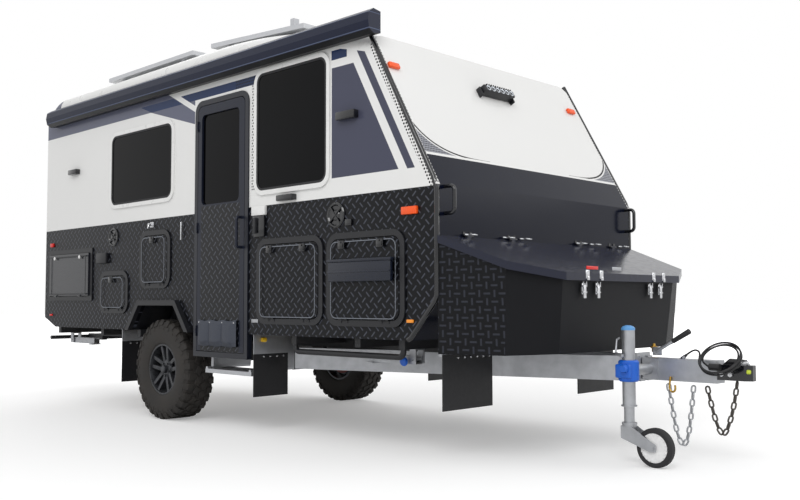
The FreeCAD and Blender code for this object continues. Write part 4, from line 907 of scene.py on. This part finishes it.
# %% Wall blocks
WALL_BLOCKS = {
    "right_front_marker": (1.743, 1.872, 1.468, 1.516, 0.020, amber),
    "right_low_marker": (1.780, 1.834, 0.818, 0.838, 0.012, low_amber),
    "right_rear_marker": (-2.960, -2.898, 1.470, 1.506, 0.016, red),
    "right_low_rear_marker": (-2.955, -2.903, 0.815, 0.833, 0.012, red),
    "socket_box": (-2.022, -1.846, 1.286, 1.377, 0.030, powder),
    "wedge_lamp_rear": (-2.560, -2.405, 2.125, 2.172, 0.045, gloss_black),
    "wedge_lamp_front": (1.175, 1.352, 2.118, 2.172, 0.045, gloss_black),
    "wedge_lamp_door": (0.560, 0.735, 1.640, 1.682, 0.045, gloss_black),
    "small_socket": (1.236, 1.296, 1.432, 1.474, 0.014, gloss_black),
    "plate_rear": (-0.212, -0.110, 0.836, 0.874, 0.002, silver_label),
    "plate_front": (0.235, 0.311, 0.797, 0.821, 0.002, silver_label),
    "handle_box_top": (0.251, 0.406, 1.559, 1.625, 0.024, white_rim),
    "handle_box": (0.262, 0.395, 1.406, 1.556, 0.020, gloss_black),
    "handle_grip": (0.290, 0.318, 1.430, 1.545, 0.038, powder),
    "tap_plate": (-1.150, -1.098, 1.556, 1.602, 0.010, steel),
}
for name, (x0, x1, z0, z1, out, finish) in WALL_BLOCKS.items():
    bar_piece(name, [((x0, -WALL_Y - out, z0), (x1, -WALL_Y + 0.002, z1))], finish,
              bevel=min(0.006, out / 3))
for name in ("right_front_marker", "right_low_marker", "right_rear_marker",
             "right_low_rear_marker"):
    x0, x1, z0, z1, out, finish = WALL_BLOCKS[name]
    bar_piece(name.replace("right", "left"), [((x0, WALL_Y - 0.002, z0), (x1, WALL_Y + out, z1))],
              finish, bevel=min(0.006, out / 3))
print("wall blocks", len(WALL_BLOCKS))

# %% [markdown]
# The speakers are turned: a flat rim, a recessed cone and a bar across. The door's rail
# and the tap's spout are rods.

# %% Speakers, tap and rail
SPEAKER = [(0.0, 0.0), (0.0, 0.085), (0.008, 0.085), (0.014, 0.078), (0.014, 0.070),
           (0.005, 0.062), (0.004, 0.036), (0.010, 0.030), (0.012, 0.0)]
for name, x, z, size in (("front_speaker", 1.141, 1.507, 1.0), ("rear_speaker", -1.757, 1.508, 0.94)):
    bm = bmesh.new()
    profile = [(along, radius * size) for along, radius in SPEAKER]
    add_turned(bm, profile, (x, -WALL_Y, z), (0, -1, 0), 48)
    for angle in (0.7, 2.27):
        reach = Vector((math.cos(angle), 0, math.sin(angle))) * 0.072 * size
        middle = Vector((x, -WALL_Y - 0.012, z))
        add_rod(bm, middle - reach, middle + reach, 0.005, segments=12)
    piece(name, bm, gloss_black)
bm = bmesh.new()
add_rod(bm, (-0.672, -WALL_Y - 0.016, 1.432), (-0.672, -WALL_Y - 0.016, 1.574), 0.006, bevel=0.002)
for z in (1.440, 1.566):
    add_rod(bm, (-0.672, -WALL_Y, z), (-0.672, -WALL_Y - 0.016, z), 0.005, segments=16)
add_rod(bm, (-1.124, -WALL_Y - 0.008, 1.580), (-1.124, -WALL_Y - 0.040, 1.580), 0.011, bevel=0.002)
add_rod(bm, (-1.124, -WALL_Y - 0.034, 1.580), (-1.124, -WALL_Y - 0.044, 1.545), 0.007, bevel=0.002)
piece("rail_and_tap", bm, steel)
print("speakers, rail and tap made")

# %% [markdown]
# A grey tray hangs on the front hatch, and the table panel has two catches. Both ride on
# their own leaf.

# %% Hatch tray and table
bm = bmesh.new()
add_block(bm, (1.117, -1.150, 1.071), (1.684, -1.1195, 1.200), 0.008, 3)
add_block(bm, (1.108, -1.156, 1.196), (1.693, -1.1195, 1.216), 0.006, 3)
add_block(bm, (1.117, -1.154, 1.128), (1.684, -1.146, 1.140), 0.003)
tray_paint = grained("tray_paint", srgb(26, 31, 44), 0.3, scale=120)
piece("hatch_tray", bm, tray_paint, "right_front_hatch")
bm = bmesh.new()
low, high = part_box("table_panel")
for x in (-2.80, -2.31):
    add_rod(bm, (x, low[1] + 0.001, 1.355), (x, low[1] - 0.008, 1.355), 0.016, bevel=0.003)
piece("table_catches", bm, white_rim, "table")
bm = bmesh.new()
add_ring(bm, (low[0] + 0.02, low[2] + 0.02), (high[0] - 0.02, high[2] - 0.02), low[1] - 0.0005,
         0.010, -0.003, 0.01)
piece("table_bead", bm, powder, "table")
print("tray and table trim made")

# %% [markdown]
# The bag on the door holds boots. It is a slack pad of coated cloth with three pockets,
# so a grid is crowned, pinched at two seams, and given its back by an extrusion.

# %% Boot bag
BAG_X, BAG_Z = (-0.400, 0.085), (0.615, 0.808)
DOOR_FACE = -1.120


def bag_depth(across, up):
    """How far the bag stands out: three pockets, fuller at the bottom."""
    pocket = abs(math.sin(math.pi * across * 3))
    crown = min(1.0, 9 * across, 9 * (1 - across)) * min(1.0, 5 * up, 8 * (1 - up))
    return 0.004 + crown * (0.008 + 0.022 * pocket ** 0.5 * (1.15 - 0.7 * up))


bm = bmesh.new()
bmesh.ops.create_grid(bm, x_segments=72, y_segments=30, size=0.5)
for vert in bm.verts:
    across, up = vert.co.x + 0.5, vert.co.y + 0.5
    vert.co = (BAG_X[0] + (BAG_X[1] - BAG_X[0]) * across, DOOR_FACE - bag_depth(across, up),
               BAG_Z[0] + (BAG_Z[1] - BAG_Z[0]) * up + 0.004 * math.cos(6 * math.pi * across))
made = bmesh.ops.extrude_face_region(bm, geom=bm.faces[:])
back = [g for g in made["geom"] if isinstance(g, bmesh.types.BMVert)]
for vert in back:
    vert.co.y = DOOR_FACE - 0.0005
bag_cloth = Paint("bag_cloth", srgb(58, 62, 72), 0.65)
weave = bag_cloth.noise(260)
bag_cloth.set("Base Color", bag_cloth.blend(weave, srgb(44, 47, 56), srgb(74, 79, 90)))
seams = bag_cloth.x.between(-0.244, -0.236).either(bag_cloth.x.between(-0.083, -0.075))
bag_cloth.bump(weave - seams * 2.0, 0.0008)
bag = piece("boot_bag", bm, bag_cloth.material, "entry_door", 60)
bm = bmesh.new()
for x in (-0.380, -0.240, -0.079, 0.065):
    add_rod(bm, (x, DOOR_FACE - 0.002, 0.792), (x, DOOR_FACE - 0.0135, 0.792), 0.007, 0.005, 0.0015, 16)
piece("bag_studs", bm, steel, "entry_door")
print("boot bag", len(bag.data.polygons), "faces")

# %% [markdown]
# The front carries a light bar with a block at each end, and two amber markers.
# All of them lie on the leaning panel, so they are turned by its slope.

# %% Front fittings
SLOPE = math.atan2(2.017 - 1.457, 2.654 - 1.640)


def on_slope(y, z, out=0.0):
    """A place on the leaning front panel, moved out along its normal."""
    x = 2.017 - (z - 1.640) * math.tan(SLOPE)
    return Vector((x + out * math.cos(SLOPE), y, z + out * math.sin(SLOPE)))


def add_slope_block(bm, y, z, size, bevel=0.004):
    """A block on the leaning panel: size is depth, width, height."""
    middle = on_slope(y, z, size[0] / 2 - 0.001)
    half = Vector(size) / 2
    add_block(bm, middle - half, middle + half, bevel, 3, Matrix.Rotation(-SLOPE, 4, "Y"))


bm = bmesh.new()
add_slope_block(bm, -0.033, 2.385, (0.070, 0.330, 0.052), 0.008)
for y in (-0.207, 0.141):
    add_slope_block(bm, y, 2.375, (0.040, 0.014, 0.070))
for rib in range(12):
    add_slope_block(bm, -0.165 + rib * 0.024, 2.408, (0.076, 0.006, 0.010), 0.002)
piece("light_bar", bm, powder)
bm = bmesh.new()
for lamp in range(6):
    centre = on_slope(-0.160 + lamp * 0.051, 2.383, 0.062)
    out = Vector((math.cos(SLOPE), 0, math.sin(SLOPE)))
    add_turned(bm, [(0, 0), (0, 0.021), (0.009, 0.021), (0.009, 0.017), (0.004, 0.008), (0.003, 0)],
               centre, out, 24)
lens = grained("lens", srgb(206, 212, 220), 0.12, 0.5, scale=90)
piece("light_bar_lenses", bm, lens)
for name, y in (("front_marker_right", -1.020), ("front_marker_left", 0.950)):
    bm = bmesh.new()
    add_slope_block(bm, y, 2.420, (0.024, 0.092, 0.040), 0.007)
    piece(name, bm, amber)
print("front slope", round(math.degrees(SLOPE), 1), "degrees")

# %% [markdown]
# Over-centre latches hold the box lid: a strike plate on the lid's edge, a hook, and a
# lever below. The strike rides on the lid, and the hook and lever stay on the box.

# %% Box latches and hinges
LATCH_YS = (-0.450, -0.300, 0.325, 0.455)
LATCH_X = 2.597
HINGE_YS = (-0.836, -0.463, -0.285, 0.363, 0.541, 0.919)
bm = bmesh.new()
for y in LATCH_YS:
    add_block(bm, (LATCH_X - 0.004, y - 0.020, 0.985), (LATCH_X + 0.002, y + 0.020, 1.052), 0.0015)
    add_block(bm, (LATCH_X, y - 0.013, 0.962), (LATCH_X + 0.012, y + 0.013, 1.040), 0.003)
    for z in (0.998, 1.034):
        add_rod(bm, (LATCH_X + 0.008, y - 0.022, z), (LATCH_X + 0.008, y + 0.022, z), 0.0045,
                bevel=0.001, segments=14)
    for offset in (-0.017, 0.017):
        add_rod(bm, (LATCH_X + 0.010, y + offset, 1.030), (LATCH_X + 0.010, y + offset, 1.060),
                0.003, segments=12)
piece("box_latches", bm, steel)
bm = bmesh.new()
low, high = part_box("box_lid")
for y in LATCH_YS:
    add_block(bm, (high[0] - 0.002, y - 0.019, 1.078), (high[0] + 0.003, y + 0.019, 1.128), 0.0015)
    add_block(bm, (high[0] + 0.001, y - 0.012, 1.068), (high[0] + 0.010, y + 0.012, 1.092), 0.003)
    for z in (1.088, 1.118):
        add_rod(bm, (high[0] + 0.002, y, z), (high[0] + 0.006, y, z), 0.004, segments=12)
piece("lid_strikes", bm, steel, "box_lid")
bm = bmesh.new()
for y in HINGE_YS:
    add_block(bm, (2.060, y - 0.026, 1.3405), (2.092, y + 0.026, 1.3465), 0.0015)
    for offset in (-0.016, 0.016):
        add_rod(bm, (2.076, y + offset, 1.345), (2.076, y + offset, 1.350), 0.005, segments=12)
piece("lid_hinges", bm, steel, "box_lid")
bm = bmesh.new()
for y in HINGE_YS:
    add_rod(bm, (2.034, y - 0.028, 1.3465), (2.034, y + 0.028, 1.3465), 0.0055, bevel=0.001, segments=16)
piece("lid_hinge_pins", bm, steel)
bar_piece("lid_reflector", [((high[0] - 0.001, -0.463, 1.132), (high[0] + 0.005, -0.340, 1.152))], red,
          "box_lid")
bar_piece("lid_label", [((high[0] - 0.001, -0.176, 1.132), (high[0] + 0.001, -0.072, 1.152))],
          silver_label, "box_lid", bevel=0.0004)
print("latches", len(LATCH_YS))

# %% [markdown]
# The lead leaves a gland on the drawbar, rises and goes into loose turns that hang over
# the coupling. A loop works out the turns, and the last part curls in to the plug.

# %% Electrical lead
CABLE_RADIUS = 0.0055
CABLE_STOPS = [Vector(p) for p in ((3.010, -0.020, 0.622), (3.038, -0.020, 0.645),
                                   (3.078, -0.030, 0.662), (3.112, -0.050, 0.655),
                                   (3.130, -0.078, 0.636))]
COIL_CENTRE = Vector((3.245, -0.071, 0.618))
COIL_RADIUS = 0.115
COIL_TILT = math.radians(45)
COIL_TURNS = 3.161
TURN_POINTS = 14
PLUG_INSET = 0.064
PLUG_REACH = 0.040


def coil_points():
    slope = Vector((0, math.cos(COIL_TILT), math.sin(COIL_TILT)))
    up = Vector((0, -math.sin(COIL_TILT), math.cos(COIL_TILT)))
    count = int(COIL_TURNS * TURN_POINTS)
    points = []
    for index in range(1, count):
        share = index / count
        angle = math.pi + 2 * math.pi * COIL_TURNS * share
        radius = COIL_RADIUS + 0.008 * math.sin(9.7 * share)
        tail = max(0.0, (share - 0.93) / 0.07)
        radius -= 0.0395 * tail * tail * (3 - 2 * tail)
        lift = 0.0145 * (1 - 2 * share) * (1 - tail)
        points.append(COIL_CENTRE + Vector((radius * math.cos(angle), 0, 0))
                      + slope * radius * math.sin(angle) + up * lift)
    points.append(COIL_CENTRE + Vector((-PLUG_REACH, 0, 0)) - slope * PLUG_INSET)
    return points


def spline_curve(name, points, radius):
    data = bpy.data.curves.new(name, "CURVE")
    data.dimensions = "3D"
    data.bevel_depth = radius
    data.bevel_resolution = 3
    spline = data.splines.new("NURBS")
    spline.points.add(len(points) - 1)
    for point, place in zip(spline.points, points):
        point.co = (*place, 1)
    spline.order_u = 3
    spline.use_endpoint_u = True
    return link(bpy.data.objects.new(name, data))


def spline_line(obj):
    """The places along a curve's own spline, with no thickness."""
    bare = obj.data.copy()
    bare.bevel_depth = 0
    probe = bpy.data.objects.new("probe", bare)
    mesh = bpy.data.meshes.new_from_object(probe)
    places = [v.co.copy() for v in mesh.vertices]
    bpy.data.objects.remove(probe)
    bpy.data.meshes.remove(mesh)
    return places


lead = spline_curve("electrical_lead", CABLE_STOPS + coil_points(), CABLE_RADIUS)
lead.data.materials.append(grained("lead_sheath", srgb(26, 26, 28), 0.5))
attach(lead, "body")
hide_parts("cable", "cable_coil")
line = spline_line(lead)
LEAD_LENGTH = sum((b - a).length for a, b in zip(line, line[1:]))
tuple(CABLE_STOPS[0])
print("lead", round(LEAD_LENGTH, 3), "m")

# %% [markdown]
# The safety chains are real links. Each link is bent from round wire: half a turn, a
# straight side, half a turn and a straight side, and links turn by a quarter in turn.

# %% Safety chains
CHAIN_Y = -0.018
CHAINS = {
    "bright_chain": [(2.899, CHAIN_Y, 0.452), (2.918, CHAIN_Y, 0.330), (2.950, CHAIN_Y, 0.155),
                     (2.989, CHAIN_Y, 0.092), (3.022, CHAIN_Y, 0.155), (3.046, CHAIN_Y, 0.330),
                     (3.059, CHAIN_Y, 0.452)],
    "dark_chain": [(3.142, CHAIN_Y, 0.452), (3.166, CHAIN_Y, 0.340), (3.200, CHAIN_Y, 0.225),
                   (3.232, CHAIN_Y, 0.180), (3.262, CHAIN_Y, 0.225), (3.300, CHAIN_Y, 0.350),
                   (3.319, CHAIN_Y, 0.474)],
}
LINK_LENGTH, LINK_WIDTH, WIRE = 0.052, 0.034, 0.0055


def link_mesh(bm, place):
    """One oval link in its own x-z plane, put at a place."""
    bend = LINK_WIDTH / 2 - WIRE
    straight = LINK_LENGTH / 2 - WIRE - bend
    ring = bmesh.ops.create_circle(bm, segments=8, radius=WIRE,
                                   matrix=Matrix.Translation((bend, 0, straight)))["verts"]
    verts = list(ring)
    edges = list({e for v in verts for e in v.link_edges})
    for middle in (straight, -straight):
        spun = bmesh.ops.spin(bm, geom=verts + edges, cent=(0, 0, middle), axis=(0, -1, 0),
                              angle=math.pi, steps=6)["geom_last"]
        moved = bmesh.ops.extrude_edge_only(
            bm, edges=[g for g in spun if isinstance(g, bmesh.types.BMEdge)])["geom"]
        verts = [g for g in moved if isinstance(g, bmesh.types.BMVert)]
        edges = [g for g in moved if isinstance(g, bmesh.types.BMEdge)
                 and all(v in verts for v in g.verts)]
        bmesh.ops.translate(bm, verts=verts, vec=(0, 0, -2 * middle))
    bmesh.ops.remove_doubles(bm, verts=bm.verts, dist=1e-6)
    bmesh.ops.transform(bm, matrix=place, verts=bm.verts)


def add_mesh(bm, other):
    """Add another bmesh and free it."""
    mesh = bpy.data.meshes.new("part")
    other.to_mesh(mesh)
    other.free()
    bm.from_mesh(mesh)
    bpy.data.meshes.remove(mesh)


def stations(points, pitch):
    """Evenly spaced places and directions along a smooth curve through a route."""
    probe = spline_curve("route", [Vector(p) for p in points], 0)
    line = spline_line(probe)
    bpy.data.objects.remove(probe)
    run, next_stop = 0.0, pitch / 2
    for start, end in zip(line, line[1:]):
        length = (end - start).length
        while run + length >= next_stop:
            yield start.lerp(end, (next_stop - run) / length), (end - start).normalized()
            next_stop += pitch
        run += length


dark_steel = zinc_finish("dark_steel", srgb(92, 88, 84), 0.5)
for name, route in CHAINS.items():
    bm = bmesh.new()
    for count, (place, way) in enumerate(stations(route, LINK_LENGTH - 2 * WIRE - 0.001)):
        loop = bmesh.new()
        turned = way.to_track_quat("Z", "Y").to_matrix().to_4x4()
        link_mesh(loop, Matrix.Translation(place) @ turned
                  @ Matrix.Rotation(math.pi / 4 + count * math.pi / 2, 4, "Z"))
        add_mesh(bm, loop)
    chain = piece(name, bm, zinc if name == "bright_chain" else dark_steel,
                  smooth=60)
    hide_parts("safety_chains")
print("links in the last chain", count + 1)

# %% [markdown]
# The jockey wheel's clamp is a blue moulded housing round the tube, with a knob and a
# crank on top. They ride on the tube, and a toothed band goes round the wheel's rim.

# %% Jockey wheel
TUBE_X, TUBE_Y = 2.790, -0.285
bm = bmesh.new()
add_turned(bm, [(-0.062, 0.047), (-0.062, 0.051), (-0.052, 0.060), (0.052, 0.060), (0.062, 0.051),
                (0.062, 0.047)], (TUBE_X, TUBE_Y, 0.540), (0, 0, 1), 40)
add_block(bm, (TUBE_X - 0.050, TUBE_Y - 0.072, 0.500), (TUBE_X + 0.050, TUBE_Y - 0.050, 0.580),
          0.010, 3)
add_turned(bm, [(-0.012, 0.0), (-0.012, 0.020), (0.010, 0.024), (0.024, 0.018), (0.024, 0.0)],
           (TUBE_X + 0.020, TUBE_Y - 0.078, 0.556), (0, -1, 0), 24)
piece("jockey_clamp", bm, blue_plastic, "jockey_tube")
bm = bmesh.new()
add_turned(bm, [(0.0, 0.0), (0.0, 0.040), (0.012, 0.040), (0.022, 0.030), (0.028, 0.012),
                (0.028, 0.0)], (TUBE_X, TUBE_Y, 0.776), (0, 0, 1), 32)
pale_blue = grained("pale_blue", srgb(96, 156, 214), 0.4, scale=80, tint=0.06)
piece("jockey_cap", bm, pale_blue, "jockey_tube")
bm = bmesh.new()
add_rod(bm, (TUBE_X - 0.046, TUBE_Y - 0.020, 0.730), (TUBE_X - 0.062, TUBE_Y - 0.024, 0.718), 0.006,
        bevel=0.001)
add_rod(bm, (TUBE_X - 0.062, TUBE_Y - 0.024, 0.722), (TUBE_X - 0.052, TUBE_Y - 0.055, 0.640), 0.006,
        bevel=0.001)
add_rod(bm, (TUBE_X - 0.052, TUBE_Y - 0.052, 0.640), (TUBE_X + 0.004, TUBE_Y - 0.068, 0.628), 0.010,
        bevel=0.002)
piece("jockey_crank", bm, zinc, "jockey_tube")
bm = bmesh.new()
for tooth in range(20):
    angle = 2 * math.pi * tooth / 20
    place = around(angle, 0.074, 0).translation
    end = around(angle, 0.083, 0).translation
    for y in (-0.0225, 0.0225):
        base = Vector((2.955, -0.285 + y, 0.112))
        add_rod(bm, base + place, base + end, 0.006, 0.004, segments=8)
white_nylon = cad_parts["jockey_rim"].data.materials[0]
piece("jockey_rim_teeth", bm, white_nylon, "jockey_wheel")
print("jockey wheel trimmed")

# %% [markdown]
# On the drawbar's nose are the handbrake, a brass gas valve, a hook, and the coupling's
# bolts and pin. Each is a few rods, blocks and turned shapes.

# %% Nose fittings
bm = bmesh.new()
add_block(bm, (2.790, -0.006, 0.618), (2.850, 0.006, 0.668), 0.003)
add_rod(bm, (2.812, 0.0, 0.640), (2.925, 0.0, 0.706), 0.011, 0.009, 0.002)
piece("handbrake_lever", bm, zinc)
bm = bmesh.new()
add_rod(bm, (2.920, 0.0, 0.703), (3.033, 0.0, 0.769), 0.014, 0.017, 0.006)
piece("handbrake_grip", bm, rubber)
bm = bmesh.new()
add_turned(bm, [(0.0, 0.0), (0.0, 0.015), (0.022, 0.015), (0.024, 0.021), (0.036, 0.021),
                (0.038, 0.010), (0.052, 0.008), (0.052, 0.0)], (2.743, 0.100, 0.631), (0, 0, 1), 24)
brass = grained("brass", srgb(190, 150, 70), 0.3, 0.9, scale=90)
piece("gas_valve", bm, brass)
hook = spline_curve("hook_line", [Vector((2.934, -0.060, 0.500)), Vector((2.934, -0.066, 0.470)),
                                  Vector((2.932, -0.072, 0.430)), Vector((2.952, -0.074, 0.408)),
                                  Vector((2.976, -0.074, 0.425)), Vector((2.968, -0.070, 0.452))],
                    0.006)
hook.data.materials.append(brass)
hook.data.use_fill_caps = True
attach(hook, "body")
bm = bmesh.new()
low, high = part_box("coupling")
for x in (low[0] + 0.030, low[0] + 0.080):
    add_rod(bm, (x, -0.058, 0.530), (x, 0.058, 0.530), 0.008, bevel=0.001, segments=20)
    for y in (-0.054, 0.054):
        add_rod(bm, (x, y - 0.006, 0.530), (x, y + 0.006, 0.530), 0.014, segments=6)
add_turned(bm, [(0.0, 0.0), (0.0, 0.028), (0.014, 0.030), (0.020, 0.024), (0.020, 0.0)],
           (high[0] - 0.060, 0, 0.584), (0, 0, 1), 32)
piece("coupling_bolts", bm, steel)
bm = bmesh.new()
add_rod(bm, (3.385, -0.030, 0.548), (3.405, -0.030, 0.548), 0.014, 0.010, 0.003)
lime = grained("lime_tip", srgb(196, 214, 60), 0.4)
piece("coupling_tip", bm, lime)
print("nose fittings made")

# %% [markdown]
# The gland is tapered where the lead leaves the drawbar. At the back are the tail lamps,
# the blank number plate and the marker lamps; below, the caps and the flaps' bolts.

# %% Gland, rear lamps and small parts
bm = bmesh.new()
add_rod(bm, (2.990, -0.020, 0.606), (3.022, -0.020, 0.632), 0.012, 0.0068, 0.001)
piece("lead_gland", bm, powder)
REAR_X = -3.073
for side, y in (("right", -1), ("left", 1)):
    bm = bmesh.new()
    add_block(bm, (REAR_X - 0.028, y * 0.900 - 0.050, 1.00), (REAR_X + 0.002, y * 0.900 + 0.050, 1.36),
              0.010, 3)
    piece(side + "_lamp_house", bm, gloss_black)
    for part, low_z, high_z, finish in (("stop", 1.255, 1.345, red), ("turn", 1.150, 1.240, amber),
                                        ("tail", 1.015, 1.135, red)):
        bar_piece(side + "_" + part + "_lamp",
                  [((REAR_X - 0.034, y * 0.900 - 0.040, low_z), (REAR_X - 0.020, y * 0.900 + 0.040, high_z))],
                  finish, bevel=0.004)
    bar_piece(side + "_top_lamp", [((-2.880, y * 0.95 - 0.05, 2.790), (-2.862, y * 0.95 + 0.05, 2.822))],
              red)
bar_piece("number_plate", [((REAR_X - 0.006, -0.760, 1.030), (REAR_X + 0.001, -0.460, 1.180))],
          silver_label, bevel=0.002)
bm = bmesh.new()
for x, y0, top, count in ((-1.621, 0.825, 0.590, 4), (0.237, 0.815, 0.550, 4),
                          (1.930, 0.520, 0.605, 6)):
    for side in (-1, 1):
        for bolt in range(count):
            y = side * (y0 + 0.060 * bolt)
            add_rod(bm, (x + 0.004, y, top), (x + 0.016, y, top), 0.008, 0.006, 0.001, 12)
piece("flap_bolts", bm, steel)
bm = bmesh.new()
add_rod(bm, (1.600, -0.934, 0.572), (1.600, -0.952, 0.572), 0.030, 0.026, 0.004)
piece("steady_cap", bm, blue_plastic, "front_right_steady")
bm = bmesh.new()
add_rod(bm, (0.257, -0.985, 0.672), (0.257, -1.020, 0.672), 0.018, 0.015, 0.003)
yellow = grained("yellow_cap", srgb(236, 190, 40), 0.4)
piece("water_cap", bm, yellow)
bm = bmesh.new()
add_rod(bm, (-0.743, -WALL_Y - 0.006, 0.917), (-0.583, -WALL_Y - 0.006, 0.712), 0.010,
        bevel=0.003)
piece("arch_strip", bm, steel)
print("rear and underbody trimmed")
